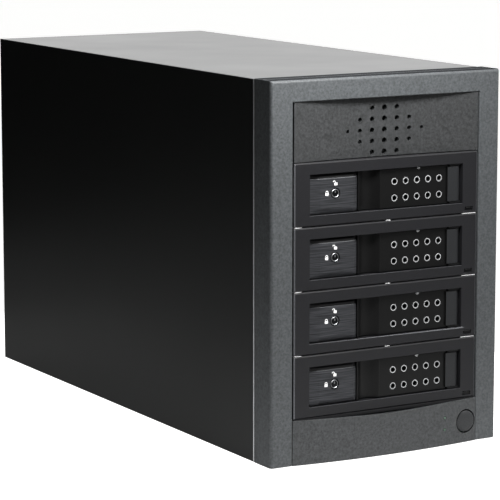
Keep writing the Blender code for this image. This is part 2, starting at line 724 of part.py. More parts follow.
def make_tray(bay, middle):
    """Drawer: face plate, two rails with runners, rear tie and hinge ears."""
    face_front = FRONT_Y + TRAY_FACE_BACKSET
    ear_left = STRIP_X[0] + TRAY_STEP
    ear_front = PIN_Y - KNUCKLE_RADIUS
    outline = [(FACE_X[0], face_front), (ear_left, face_front), (ear_left, ear_front),
               (FACE_X[1], ear_front), (FACE_X[1], FACE_BACK), (FACE_X[0], FACE_BACK)]
    bm = bmesh.new()
    prism(bm, outline, middle - FACE_HEIGHT / 2, middle + FACE_HEIGHT / 2, "Z")
    place = (0, FRONT_Y, middle)
    tray = piece(f"bay_{bay}_tray", bm, BLACK_PLASTIC, origin=place)
    jaw = bmesh.new()
    box(jaw, grown((ear_left, FACE_X[1]), TRAY_STEP),
        (ear_front - TRAY_STEP, face_front - TOUCH_GAP),
        span(middle, FACE_HEIGHT - 2 * EAR_THICK))
    cut(tray, jaw)

    rail_z = (middle + RAIL_LOW, middle + RAIL_LOW + RAIL_HEIGHT)
    drive_back = FACE_BACK + DRIVE_LENGTH
    hidden = FACE_BACK - TRAY_FACE_THICK / 2
    outline = [(-RAIL_OUTER, hidden), (-RAIL_INNER, hidden), (-RAIL_INNER, drive_back),
               (RAIL_INNER, drive_back), (RAIL_INNER, hidden), (RAIL_OUTER, hidden),
               (RAIL_OUTER, TRAY_BACK), (-RAIL_OUTER, TRAY_BACK)]
    rails = bmesh.new()
    prism(rails, outline, *rail_z, "Z")
    add(tray, rails)
    notch = bmesh.new()
    half = RAIL_INNER - RAIL_HEIGHT / 2
    box(notch, (-half, half), grown((drive_back, TRAY_BACK), TRAY_STEP),
        (rail_z[0] + RAIL_THICK, rail_z[1] + TRAY_STEP))
    cut(tray, notch)
    runners = bmesh.new()
    runner_z = (middle + RUNNER_LOW, middle + RUNNER_LOW + RUNNER_HEIGHT)
    for sign in (-1, 1):
        ends = sorted((sign * (RAIL_OUTER - RAIL_THICK / 2),
                       sign * (RAIL_OUTER + RUNNER_WIDTH)))
        box(runners, ends, grown((FACE_BACK, TRAY_BACK), -TRAY_STEP), runner_z)
    add(tray, runners)

    holes = bmesh.new()
    rod(holes, PIN_RADIUS + TOUCH_GAP, (PIN_X, PIN_Y, middle), 2 * FACE_HEIGHT,
        "Z", SMALL)
    box(holes, grown(SCREEN_X, -TRAY_STEP), grown((face_front, FACE_BACK), TRAY_STEP),
        span(middle, TRAY_VENT_HEIGHT))
    cut(tray, holes)
    return tray


def make_release(bay, middle, tray):
    """Release plate that is pressed in to free the handle, and its lock."""
    front = FRONT_Y + RELEASE_BACKSET
    y = (front, front + RELEASE_THICK)
    lock_x = (RELEASE_X[0] + RELEASE_X[1]) / 2 + LOCK_SHIFT
    bm = bmesh.new()
    box(bm, RELEASE_X, y, span(middle, 2 * HANDLE_HALF))
    place = (lock_x, front, middle)
    plate = piece(f"bay_{bay}_release", bm, GLOSS_PLASTIC, origin=place, parent=tray)
    bore = bmesh.new()
    rod(bore, LOCK_RADIUS + TOUCH_GAP, (lock_x, front, middle), 4 * RELEASE_THICK,
        "Y", MEDIUM)
    cut(plate, bore)
    barrel = bmesh.new()
    rod(barrel, LOCK_RADIUS, (lock_x, front + RELEASE_THICK / 2, middle),
        RELEASE_THICK, "Y", MEDIUM)
    lock = piece(f"bay_{bay}_key_lock", barrel, ALUMINIUM, origin=place,
                 parent=plate, smooth=True)
    keyway = bmesh.new()
    box(keyway, span(lock_x, KEYWAY_WIDTH), span(front, RELEASE_THICK),
        span(middle, KEYWAY_HEIGHT))
    cut(lock, keyway)


def make_handle(bay, middle, tray):
    """Handle: scooped grip, perforated screen and end strip on a hinge."""
    front = FRONT_Y + HANDLE_BACKSET
    back = front + HANDLE_THICK
    scoop_half = GRIP_WIDTH / 2 - GRIP_MARGIN
    scoop_radius = (scoop_half ** 2 + GRIP_SCOOP ** 2) / (2 * GRIP_SCOOP)
    scoop_x = (GRIP_X[0] + GRIP_X[1]) / 2
    spread = math.asin(scoop_half / scoop_radius)
    centre = (scoop_x, front + GRIP_SCOOP - scoop_radius)
    scoop = arc(centre, scoop_radius, math.pi / 2 + spread, math.pi / 2 - spread, 8)
    outline = [(GRIP_X[0], front)] + scoop
    outline += [(GRIP_X[1], front), (GRIP_X[1], front + SCREEN_DROP),
                (SCREEN_X[1], front + SCREEN_DROP), (SCREEN_X[1], back),
                (GRIP_X[1], back), (GRIP_X[1], FRONT_Y + GRIP_BACK),
                (GRIP_X[0], FRONT_Y + GRIP_BACK)]
    bm = bmesh.new()
    prism(bm, outline, middle - HANDLE_HALF, middle + HANDLE_HALF, "Z")
    place = (PIN_X, PIN_Y, middle)
    handle = piece(f"bay_{bay}_handle", bm, GLOSS_PLASTIC, origin=place, parent=tray)
    holes = bmesh.new()
    screen_middle = (SCREEN_X[0] + SCREEN_X[1]) / 2 + HOLE_SHIFT_X
    for column in range(HOLE_COLUMNS):
        for row in range(HOLE_ROWS):
            x = screen_middle + (column - (HOLE_COLUMNS - 1) / 2) * HOLE_PITCH_X
            z = middle - HOLE_DROP + (row - (HOLE_ROWS - 1) / 2) * HOLE_PITCH_Z
            rod(holes, HOLE_RADIUS, (x, front, z), 8 * HANDLE_THICK, "Y", SMALL)
    cut(handle, holes)
    end = bmesh.new()
    knuckle = arc((PIN_X, PIN_Y), KNUCKLE_RADIUS, -math.pi / 2, math.pi / 2, 6)
    strip_front = front - STRIP_RISE
    strip_left = STRIP_X[0] - STRIP_LAP
    outline = [(strip_left, strip_front), (STRIP_X[1], strip_front)]
    outline += knuckle + [(strip_left, PIN_Y + KNUCKLE_RADIUS)]
    prism(end, outline, middle - KNUCKLE_HALF, middle + KNUCKLE_HALF, "Z")
    add(handle, end)
    pin = bmesh.new()
    rod(pin, PIN_RADIUS, (PIN_X, PIN_Y, middle), FACE_HEIGHT - 2 * TOUCH_GAP, "Z", SMALL)
    add(handle, pin)


def make_bays():
    """The four modules, from the top one down."""
    for bay in range(1, BAY_COUNT + 1):
        middle = bay_z(bay)
        pocket = middle + POCKET_SHIFT_Z
        make_bay_front(bay, middle)
        make_sleeve(bay, middle)
        make_backplane(bay, middle)
        tray = make_tray(bay, pocket)
        make_release(bay, pocket, tray)
        make_handle(bay, pocket, tray)


# ------------------------------------------------------------------ cooling fans
def blades(bm, centre, hub, tip, chord):
    """Add pitched blades that stand on a hub with its axis along Y."""
    for index in range(BLADE_COUNT):
        verts = box(bm, (hub - BLADE_ROOT, tip), span(0, chord), span(0, BLADE_THICK))
        turn = Matrix.Rotation(2 * math.pi * index / BLADE_COUNT, 4, "Y")
        place = Matrix.Translation(centre) @ turn @ Matrix.Rotation(BLADE_PITCH, 4, "X")
        bmesh.ops.transform(bm, matrix=place, verts=verts)


def make_rear_fan():
    """Frame, rotor and guard of the rear fan."""
    frame_y = (FAN_FRAME_Y, FAN_FRAME_Y + FAN_DEPTH)
    bm = bmesh.new()
    box(bm, span(0, FAN_SIZE), frame_y, span(FAN_Z, FAN_SIZE))
    frame = piece("fan_frame", bm, BLACK_PLASTIC)
    bore = bmesh.new()
    rod(bore, FAN_BORE_RADIUS, (0, FAN_FRAME_Y, FAN_Z), 4 * FAN_DEPTH, "Y", FINE)
    cut(frame, bore)
    strut_y = (frame_y[1] - FAN_STRUT_DEPTH, frame_y[1])
    arms = bmesh.new()
    reach = 2 * (FAN_BORE_RADIUS + STRUT_LAP)
    box(arms, span(0, reach), strut_y, span(FAN_Z, FAN_STRUT))
    add(frame, arms)
    arms = bmesh.new()
    box(arms, span(0, FAN_STRUT), strut_y, span(FAN_Z, reach))
    add(frame, arms)
    motor = bmesh.new()
    rod(motor, FAN_HUB_RADIUS, (0, sum(strut_y) / 2, FAN_Z), FAN_STRUT_DEPTH, "Y", MEDIUM)
    add(frame, motor)

    rotor_y = (FAN_FRAME_Y + FAN_SETBACK, strut_y[0] - TOUCH_GAP)
    centre = (0, sum(rotor_y) / 2, FAN_Z)
    hub = bmesh.new()
    rod(hub, FAN_HUB_RADIUS, centre, rotor_y[1] - rotor_y[0], "Y", MEDIUM)
    rotor = piece("fan_rotor", hub, BLACK_PLASTIC, origin=centre)
    vanes = bmesh.new()
    blades(vanes, centre, FAN_HUB_RADIUS, FAN_BORE_RADIUS - FAN_TIP_GAP, FAN_CHORD)
    add(rotor, vanes)

    guard_y = REAR_PANEL_Y + SHEET + TOUCH_GAP
    ring_y = guard_y + GUARD_WIRE / 2
    bars = bmesh.new()
    box(bars, span(0, 2 * FAN_BORE_RADIUS), (guard_y, guard_y + GUARD_WIRE / 2),
        span(FAN_Z, GUARD_WIRE))
    guard = piece("fan_guard", bars, BARE_STEEL)
    upright = bmesh.new()
    box(upright, span(0, GUARD_WIRE), (guard_y, guard_y + GUARD_WIRE / 2),
        span(FAN_Z, 2 * FAN_BORE_RADIUS))
    add(guard, upright)
    for ring in range(GUARD_RINGS):
        radius = FAN_BORE_RADIUS * (ring + 1) / GUARD_RINGS
        band = bmesh.new()
        ring_band(band, (0, ring_y, FAN_Z), radius, GUARD_WIRE)
        add(guard, band)


def ring_band(bm, centre, radius, width):
    """Add a flat square-section ring, its axis along Y, by turning a square."""
    corners = [(radius - width, -width / 4), (radius, -width / 4),
               (radius, width / 2), (radius - width, width / 2)]
    verts = [bm.verts.new((centre[0] + x, centre[1] + y, centre[2])) for x, y in corners]
    edges = [bm.edges.new((verts[index - 1], verts[index])) for index in range(4)]
    bmesh.ops.spin(bm, geom=[*verts, *edges], cent=centre, axis=(0, 1, 0),
                   angle=2 * math.pi, steps=FINE, use_merge=True)
    bmesh.ops.recalc_face_normals(bm, faces=bm.faces)


# ------------------------------------------------------------------ power supply
def psu_z():
    """Middle height of the power supply."""
    return INSIDE_TOP - PSU_TOP_GAP - PSU_HEIGHT / 2


def make_power_supply():
    """Case, mains inlet, rocker switch and fan rotor of the power supply."""
    back = REAR_PANEL_Y - TOUCH_GAP
    y = (back - PSU_DEPTH, back)
    middle = psu_z()
    inlet_x = PSU_X + INLET_SHIFT_X
    inlet_z = middle + INLET_SHIFT_Z
    rocker_z = inlet_z + INLET_HEIGHT / 2 + ROCKER_LIFT + ROCKER_HEIGHT / 2
    fan_x = PSU_X + PSU_FAN_SHIFT
    bm = bmesh.new()
    box(bm, span(PSU_X, PSU_WIDTH), y, span(middle, PSU_HEIGHT))
    case = piece("psu_case", bm, BARE_STEEL)
    inside = bmesh.new()
    box(inside, span(PSU_X, PSU_WIDTH - 2 * SHEET), grown(y, -SHEET),
        span(middle, PSU_HEIGHT - 2 * SHEET))
    cut(case, inside)
    holes = bmesh.new()
    depth = 6 * SHEET
    rod(holes, PSU_FAN_RADIUS, (fan_x, back, middle), depth, "Y", MEDIUM)
    box(holes, span(inlet_x, INLET_WIDTH + 2 * TOUCH_GAP), span(back, depth),
        span(inlet_z, INLET_HEIGHT + 2 * TOUCH_GAP))
    box(holes, span(inlet_x, ROCKER_WIDTH + 2 * TOUCH_GAP), span(back, depth),
        span(rocker_z, ROCKER_HEIGHT + 2 * ROCKER_GAP))
    for index in range(PSU_SLOT_COUNT):
        slot_x = PSU_X + (index - (PSU_SLOT_COUNT - 1) / 2) * PSU_SLOT_PITCH
        box(holes, span(slot_x, PSU_SLOT_WIDTH), span(y[0], depth),
            span(middle, PSU_HEIGHT - 2 * PSU_SLOT_MARGIN))
    cut(case, holes)

    face = REAR_PANEL_Y + SHEET
    block = bmesh.new()
    box(block, span(inlet_x, INLET_WIDTH), (face - INLET_DEPTH, face),
        span(inlet_z, INLET_HEIGHT))
    inlet = piece("psu_inlet", block, GLOSS_PLASTIC)
    recess = bmesh.new()
    floor_y = face - INLET_DEPTH + INLET_FLOOR
    box(recess, span(inlet_x, INLET_WIDTH - 2 * INLET_RIM), (floor_y, face + INLET_FLOOR),
        span(inlet_z, INLET_HEIGHT - 2 * INLET_RIM))
    cut(inlet, recess)
    pins = bmesh.new()
    pin_y = (floor_y - INLET_FLOOR / 2, face - MAINS_PIN_SETBACK)
    for x, z in MAINS_PIN_PLACES:
        box(pins, span(inlet_x + x, MAINS_PIN_WIDTH), pin_y,
            span(inlet_z + z, MAINS_PIN_HEIGHT))
    add(inlet, pins)

    place = (inlet_x, face - ROCKER_DEPTH / 2, rocker_z)
    tilt = bmesh.new()
    box(tilt, span(inlet_x, ROCKER_WIDTH), span(place[1], ROCKER_DEPTH),
        span(rocker_z, ROCKER_HEIGHT))
    piece("psu_rocker", tilt, GLOSS_PLASTIC, origin=place)

    centre = (fan_x, back - SHEET - TOUCH_GAP - PSU_FAN_DEPTH / 2, middle)
    hub = bmesh.new()
    rod(hub, PSU_FAN_HUB, centre, PSU_FAN_DEPTH, "Y", MEDIUM)
    rotor = piece("psu_fan_rotor", hub, BLACK_PLASTIC, origin=centre)
    vanes = bmesh.new()
    blades(vanes, centre, PSU_FAN_HUB, PSU_FAN_RADIUS - TOUCH_GAP, PSU_FAN_CHORD)
    add(rotor, vanes)


# -------------------------------------------------------------- controller board
def board_low():
    """Lower face of the controller board."""
    return PAN_TOP + BOARD_RISE


def socket_low():
    """Lower face of the sockets on the board."""
    return board_low() + BOARD_THICK + TOUCH_GAP


def make_controller():
    """Board on its standoffs, heat sink and the two blocks of sockets."""
    back = REAR_PANEL_Y - TOUCH_GAP
    y = (back - BOARD_DEPTH, back)
    bm = bmesh.new()
    box(bm, span(0, BOARD_WIDTH), y, (board_low(), board_low() + BOARD_THICK))
    board = piece("controller_board", bm, GREEN_BOARD)
    posts = bmesh.new()
    low = PAN_TOP + TOUCH_GAP
    high = board_low() + BOARD_THICK / 2
    for sign in (-1, 1):
        for post_y in (y[0] + STANDOFF_INSET, y[1] - STANDOFF_INSET):
            rod(posts, STANDOFF_RADIUS,
                (sign * (BOARD_WIDTH / 2 - STANDOFF_INSET), post_y, (low + high) / 2),
                high - low, "Z", SMALL)
    add(board, posts)

    sink_y = span((y[0] + y[1]) / 2 + SINK_SHIFT_Y, SINK_SIZE)
    sink_x = span(SINK_X, SINK_SIZE)
    bm = bmesh.new()
    box(bm, sink_x, sink_y, (socket_low(), socket_low() + SINK_HEIGHT))
    sink = piece("heat_sink", bm, ALUMINIUM)
    grooves = bmesh.new()
    pitch = SINK_SIZE / (SINK_FINS - 0.5)
    for index in range(SINK_FINS - 1):
        left = sink_x[0] + pitch * (index + 0.5)
        box(grooves, (left, left + pitch / 2), grown(sink_y, SHEET),
            (socket_low() + SINK_BASE, socket_low() + SINK_HEIGHT + SHEET))
    cut(sink, grooves)

    face = REAR_PANEL_Y + SHEET + TOUCH_GAP
    for name, x, size, storeys in (("lan_socket", LAN_X, LAN_SIZE, 1),
                                   ("usb_sockets", USB_X, USB_SIZE, 2)):
        bm = bmesh.new()
        box(bm, span(x, size[0]), (face - size[1], face),
            (socket_low(), socket_low() + size[2]))
        socket = piece(name, bm, BARE_STEEL)
        mouth = bmesh.new()
        storey = size[2] / storeys
        for level in range(storeys):
            low = socket_low() + storey * level
            box(mouth, span(x, size[0] - 2 * SOCKET_WALL),
                (face - size[1] * SOCKET_MOUTH, face + SHEET),
                grown((low, low + storey), -SOCKET_SHELF))
        cut(socket, mouth)


for old in list(bpy.data.objects):
    bpy.data.objects.remove(old, do_unlink=True)

make_pan()
make_cover()
make_front_plate()
make_cage_side("cage_side_left", -1)
make_cage_side("cage_side_right", 1)
make_rear_panel()
make_feet()
make_front_frame()
make_vent_panel()
make_lower_panel()
make_power_controls()
make_bays()
make_rear_fan()
make_power_supply()
make_controller()
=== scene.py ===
"""Four-bay storage tower in black steel and moulded plastic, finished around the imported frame."""
import json
import math

import bmesh
import bpy
from mathutils import Matrix, Vector


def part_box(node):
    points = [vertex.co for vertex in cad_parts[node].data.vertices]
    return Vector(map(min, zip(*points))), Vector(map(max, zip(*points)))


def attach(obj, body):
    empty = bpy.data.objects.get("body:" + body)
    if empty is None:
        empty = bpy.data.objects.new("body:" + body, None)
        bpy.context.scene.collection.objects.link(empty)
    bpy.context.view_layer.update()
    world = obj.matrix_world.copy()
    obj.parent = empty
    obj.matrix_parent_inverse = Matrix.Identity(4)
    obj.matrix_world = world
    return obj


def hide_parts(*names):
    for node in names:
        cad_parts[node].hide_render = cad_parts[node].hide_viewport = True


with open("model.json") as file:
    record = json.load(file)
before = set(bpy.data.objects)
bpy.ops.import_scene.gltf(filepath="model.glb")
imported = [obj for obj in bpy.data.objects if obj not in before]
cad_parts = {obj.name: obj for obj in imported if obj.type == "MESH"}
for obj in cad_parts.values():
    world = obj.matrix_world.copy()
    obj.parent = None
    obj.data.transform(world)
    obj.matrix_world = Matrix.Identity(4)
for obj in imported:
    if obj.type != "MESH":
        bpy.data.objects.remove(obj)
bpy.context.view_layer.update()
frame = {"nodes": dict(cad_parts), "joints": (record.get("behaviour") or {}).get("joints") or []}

# ------------------------------------------------------------------------ camera
# A long lens on a tripod, a little above the case and off its left front corner.
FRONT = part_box("front_frame")
CASE_BASE = FRONT[0][2]
CAMERA_AZIMUTH = math.radians(-30.05)
CAMERA_ELEVATION = math.radians(8.65)
CAMERA_DISTANCE = 1.600
CAMERA_AIM = Vector((-0.1066, FRONT[0][1], CASE_BASE + 0.1650))
CAMERA_LENS = 177.5
CAMERA_SHIFT_Y = -0.05

lens = bpy.data.cameras.new("camera")
lens.lens = CAMERA_LENS
lens.sensor_width = 36.0
lens.shift_y = CAMERA_SHIFT_Y
camera = bpy.data.objects.new("camera", lens)
bpy.context.scene.collection.objects.link(camera)
flat_reach = math.cos(CAMERA_ELEVATION)
stand = Vector((math.sin(CAMERA_AZIMUTH) * flat_reach,
                -math.cos(CAMERA_AZIMUTH) * flat_reach,
                math.sin(CAMERA_ELEVATION))) * CAMERA_DISTANCE
camera.location = CAMERA_AIM + stand
camera.rotation_euler = (-stand).to_track_quat("-Z", "Y").to_euler()
bpy.context.scene.camera = camera

# ------------------------------------------------------------------------ studio
# A pale seamless floor, an even white room, one wide soft box above and in front
# of the case, and a small one close above its front.
FLOOR_REACH = 6.0
FLOOR_HEX = "#f7f7f6"
FLOOR_GLOW = 0.62          # the table is lit a little from below
BOUNCE_HALF_WIDTH = 0.27
BOUNCE_HALF_DEPTH = 0.40
BOUNCE_GLOW = 0.8


def linear(colour):
    """An sRGB hex colour as linear red, green, blue and alpha."""
    values = []
    for start in (1, 3, 5):
        share = int(colour[start:start + 2], 16) / 255
        values.append(share / 12.92 if share <= 0.04045 else ((share + 0.055) / 1.055) ** 2.4)
    return (*values, 1.0)


def add_node(tree, kind, settings=None, inputs=None):
    """Add one node with its settings, values and links."""
    made = tree.nodes.new(kind)
    for key, value in (settings or {}).items():
        setattr(made, key, value)
    for key, value in (inputs or {}).items():
        if isinstance(value, bpy.types.NodeSocket):
            tree.links.new(value, made.inputs[key])
        else:
            made.inputs[key].default_value = value
    return made


def new_material(name):
    """An empty material with its shader and output already joined."""
    made = bpy.data.materials.new(name)
    made.use_nodes = True
    tree = made.node_tree
    return made, tree, tree.nodes["Principled BSDF"]


backdrop, tree, shader = new_material("matt_white_paper_floor")
grain = add_node(tree, "ShaderNodeTexNoise", inputs={"Scale": 40.0, "Detail": 2.0})
tone = add_node(tree, "ShaderNodeMix", {"data_type": "RGBA"}, {
    0: grain.outputs["Fac"], 6: linear("#f4f4f3"), 7: linear(FLOOR_HEX)})
tree.links.new(tone.outputs[2], shader.inputs["Base Color"])
shader.inputs["Roughness"].default_value = 0.9
shader.inputs["Specular IOR Level"].default_value = 0.1
shader.inputs["Emission Color"].default_value = linear(FLOOR_HEX)
shader.inputs["Emission Strength"].default_value = FLOOR_GLOW

bm = bmesh.new()
bmesh.ops.create_grid(bm, x_segments=2, y_segments=2, size=FLOOR_REACH)
floor_mesh = bpy.data.meshes.new("floor")
bm.to_mesh(floor_mesh)
bm.free()
floor = bpy.data.objects.new("floor", floor_mesh)
bpy.context.scene.collection.objects.link(floor)
floor.data.materials.append(backdrop)
floor.visible_glossy = False
floor.visible_diffuse = False

# Two cards lie on the floor. The case's sides mirror the wide grey one, and the
# small white one under the case throws light up its lower half.
CARDS = (("mirror_card", "dull_grey_card", "#7a7a7a", 0.75, 0.75),
         ("bounce_card", "bright_white_card", "#ffffff", BOUNCE_HALF_WIDTH, BOUNCE_HALF_DEPTH))
for name, coating, shade, half_wide, half_deep in CARDS:
    dull, tree, shader = new_material(coating)
    grain = add_node(tree, "ShaderNodeTexNoise", inputs={"Scale": 60.0, "Detail": 2.0})
    tone = add_node(tree, "ShaderNodeMix", {"data_type": "RGBA", "blend_type": "MULTIPLY"}, {
        0: 0.05, 6: linear(shade), 7: grain.outputs["Color"]})
    tree.links.new(tone.outputs[2], shader.inputs["Base Color"])
    shader.inputs["Roughness"].default_value = 1.0
    card_mesh = bpy.data.meshes.new(name)
    bm = bmesh.new()
    bmesh.ops.create_grid(bm, x_segments=2, y_segments=2, size=1.0)
    bmesh.ops.scale(bm, vec=(half_wide, half_deep, 1), verts=bm.verts)
    bmesh.ops.translate(bm, vec=(0, 0, 0.0004), verts=bm.verts)
    bm.to_mesh(card_mesh)
    bm.free()
    card = bpy.data.objects.new(name, card_mesh)
    bpy.context.scene.collection.objects.link(card)
    card.data.materials.append(dull)
    card.visible_camera = False
    card.visible_shadow = False
    card.visible_diffuse = name == "bounce_card"
    card.visible_glossy = name == "mirror_card"
    if name == "bounce_card":
        shader.inputs["Emission Color"].default_value = (1, 1, 1, 1)
        shader.inputs["Emission Strength"].default_value = BOUNCE_GLOW

SHADE_LEVEL = 0.04         # share of the room's light that comes from the dark side
LOW_LEVEL = 0.10           # and from below the horizon
FRONT_LEVEL = 0.35         # and from in front
world = bpy.data.worlds.new("white_studio_room")
bpy.context.scene.world = world
world.use_nodes = True
tree = world.node_tree
tree.nodes.clear()
where = add_node(tree, "ShaderNodeTexCoord")
parts = add_node(tree, "ShaderNodeSeparateXYZ", inputs={"Vector": where.outputs["Generated"]})
height = add_node(tree, "ShaderNodeMapRange", {"interpolation_type": "SMOOTHSTEP"}, {
    "Value": parts.outputs["Z"], "From Min": -0.10, "From Max": 0.16,
    "To Min": LOW_LEVEL, "To Max": 1.0})
sideways = add_node(tree, "ShaderNodeMapRange", {"interpolation_type": "SMOOTHSTEP"}, {
    "Value": parts.outputs["X"], "From Min": -0.12, "From Max": 0.45,
    "To Min": SHADE_LEVEL, "To Max": 1.55})
forward = add_node(tree, "ShaderNodeMapRange", {"interpolation_type": "SMOOTHSTEP"}, {
    "Value": parts.outputs["Y"], "From Min": -0.40, "From Max": 0.40,
    "To Min": FRONT_LEVEL, "To Max": 1.0})
half_glow = add_node(tree, "ShaderNodeMath", {"operation": "MULTIPLY"}, {
    0: height.outputs["Result"], 1: sideways.outputs["Result"]})
glow = add_node(tree, "ShaderNodeMath", {"operation": "MULTIPLY"}, {
    0: half_glow.outputs["Value"], 1: forward.outputs["Result"]})
sight = add_node(tree, "ShaderNodeLightPath")
seen = add_node(tree, "ShaderNodeBackground", inputs={"Color": (1, 1, 1, 1), "Strength": 1.3})
lit = add_node(tree, "ShaderNodeBackground", inputs={
    "Color": (1, 1, 1, 1), "Strength": glow.outputs["Value"]})
room = add_node(tree, "ShaderNodeMixShader", inputs={
    0: sight.outputs["Is Camera Ray"], 1: lit.outputs["Background"], 2: seen.outputs["Background"]})
out = add_node(tree, "ShaderNodeOutputWorld", inputs={"Surface": room.outputs["Shader"]})

bpy.context.scene.view_settings.view_transform = "Standard"
SOFT_BOXES = (
    ("key_box", (0.75, -1.20, 1.20), (0.0, -0.15, 0.20), (1.1, 0.7), 6.0),
    ("top_box", (-0.05, -0.38, 0.46), (-0.03, -0.20, 0.22), (0.16, 0.12), 2.7),
)
for name, place, aim, size, power in SOFT_BOXES:
    box_light = bpy.data.lights.new(name, "AREA")
    box_light.shape = "RECTANGLE"
    box_light.size, box_light.size_y = size
    box_light.energy = power
    lamp = bpy.data.objects.new(name, box_light)
    lamp.location = place
    lamp.rotation_euler = (Vector(aim) - Vector(place)).to_track_quat("-Z", "Y").to_euler()
    bpy.context.scene.collection.objects.link(lamp)

# --------------------------------------------------------------------- base pan
# The base pan is a zinc-plated steel sheet with both long sides bent up. The cover
# slides over it. Its plating shows as soft patches of lighter and darker grey.
ZINC_HEX = "#b3b5b7"
ZINC_SPANGLE = 0.006       # metres across one crystal of the plating
SHARPER_THAN = 32.0        # degrees at which an edge still shows as a crease


def zinc_plated_steel(name, spangle=ZINC_SPANGLE):
    """Bare plated sheet: a cool grey metal with soft crystal patches."""
    made, tree, shader = new_material(name)
    place = add_node(tree, "ShaderNodeTexCoord")
    crystals = add_node(tree, "ShaderNodeTexVoronoi", inputs={
        "Vector": place.outputs["Object"], "Scale": 1.0 / spangle})
    smear = add_node(tree, "ShaderNodeTexNoise", inputs={
        "Vector": place.outputs["Object"], "Scale": 0.4 / spangle, "Detail": 3.0})
    tone = add_node(tree, "ShaderNodeMix", {"data_type": "RGBA"}, {
        0: crystals.outputs["Color"], 6: linear("#a6a8ab"), 7: linear(ZINC_HEX)})
    gloss = add_node(tree, "ShaderNodeMapRange", inputs={
        "Value": smear.outputs["Fac"], "To Min": 0.30, "To Max": 0.48})
    tree.links.new(tone.outputs[2], shader.inputs["Base Color"])
    tree.links.new(gloss.outputs["Result"], shader.inputs["Roughness"])
    shader.inputs["Metallic"].default_value = 1.0
    return made


def merged_copy(node):
    """A bmesh of one CAD node with its triangles merged back into flat faces."""
    bm = bmesh.new()
    bm.from_mesh(frame["nodes"][node].data)
    bmesh.ops.remove_doubles(bm, verts=bm.verts, dist=0.00002)
    bmesh.ops.dissolve_limit(bm, angle_limit=math.radians(0.6), verts=bm.verts,
                             edges=bm.edges, use_dissolve_boundaries=False)
    return bm


def crease_edges(bm, angle=32.0, where=None):
    """The edges whose two faces meet more sharply than the angle, in degrees."""
    limit = math.radians(angle)
    return [edge for edge in bm.edges if len(edge.link_faces) == 2
            and edge.calc_face_angle(0) > limit and (where is None or where(edge))]


def soften(bm, width, angle=32.0, segments=2, where=None):
    """Round the sharp edges over by the given width."""
    edges = crease_edges(bm, angle, where)
    bmesh.ops.bevel(bm, geom=edges, offset=width, offset_type="OFFSET", segments=segments,
                    profile=0.5, affect="EDGES", clamp_overlap=True, material=-1)


def set_down(name, bm, material, body, replaced=(), sharp=SHARPER_THAN):
    """Write a finished piece, shade it, and fix it to its body."""
    mesh = bpy.data.meshes.new(name)
    bm.to_mesh(mesh)
    bm.free()
    mesh.shade_smooth()
    mesh.set_sharp_from_angle(angle=math.radians(sharp))
    made = bpy.data.objects.new(name, mesh)
    bpy.context.scene.collection.objects.link(made)
    for finish in material if isinstance(material, tuple) else (material,):
        mesh.materials.append(finish)
    even = made.modifiers.new("flat_faces_lead", "WEIGHTED_NORMAL")
    even.keep_sharp = True
    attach(made, body)
    if replaced:
        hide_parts(*replaced)
    return made


def softened_node(node, name, width, material, body, angle=32.0, segments=2):
    """A CAD node with its sharp edges broken, standing for that node."""
    bm = merged_copy(node)
    soften(bm, width, angle, segments)
    return set_down(name, bm, material, body, (node,))


def box_into(bm, low, high):
    """Add a closed box between two corners and return its vertices."""
    made = bmesh.ops.create_cube(bm, size=1.0)["verts"]
    low, high = Vector(low), Vector(high)
    bmesh.ops.scale(bm, vec=high - low, verts=made)
    bmesh.ops.translate(bm, vec=(low + high) / 2, verts=made)
    return made


def rod_into(bm, radius, middle, length, axis="Y", segments=24, end_radius=None):
    """Add a closed round bar centred on a place, along X, Y or Z."""
    turn = {"X": Matrix.Rotation(math.pi / 2, 4, "Y"),
            "Y": Matrix.Rotation(math.pi / 2, 4, "X"),
            "Z": Matrix.Identity(4)}[axis]
    return bmesh.ops.create_cone(
        bm, cap_ends=True, segments=segments, radius1=radius,
        radius2=radius if end_radius is None else end_radius, depth=length,
        matrix=Matrix.Translation(middle) @ turn)["verts"]


def lathe_into(bm, profile, middle, axis=(0, 1, 0), steps=32):
    """Turn an open profile of (radius, along) points about an axis through middle.

    A point of radius 0 at either end closes the shape there.
    """
    along = Vector(axis)
    across = Vector((0, 0, 1)) if abs(along.z) < 0.5 else Vector((1, 0, 0))
    verts = [bm.verts.new(Vector(middle) + across * radius + along * step)
             for radius, step in profile]
    edges = [bm.edges.new(pair) for pair in zip(verts, verts[1:])]
    made = bmesh.ops.spin(bm, geom=[*verts, *edges], cent=middle, axis=axis,
                          angle=2 * math.pi, steps=steps, use_merge=True)
    near = [vert for vert in bm.verts if (vert.co - Vector(middle)).length < 1.0]
    bmesh.ops.remove_doubles(bm, verts=near, dist=1e-6)
    bmesh.ops.recalc_face_normals(bm, faces=bm.faces)
    return made


ZINC = zinc_plated_steel("zinc_plated_sheet_steel")
softened_node("base_pan", "folded_base_pan", 0.0002, ZINC, "case")

# ------------------------------------------------------- inner steelwork and cage
# The front plate, the two sides of the drive cage and the four drive sleeves are
# the same plated sheet, punched and folded, with its cut edges left bare.
for node in ("front_plate", "cage_side_left", "cage_side_right"):
    softened_node(node, f"punched_{node}", 0.00015, ZINC, "case")
for bay in range(1, 5):
    softened_node(f"bay_{bay}_sleeve", f"folded_sleeve_{bay}", 0.00015, ZINC,
                  "case")

# -------------------------------------------------------------------------- feet
# Four low discs of black rubber, moulded with a small chamfer and glued on. The
# rubber has a dry, dusty look without any sheen.
RUBBER_HEX = "#1c1c1c"


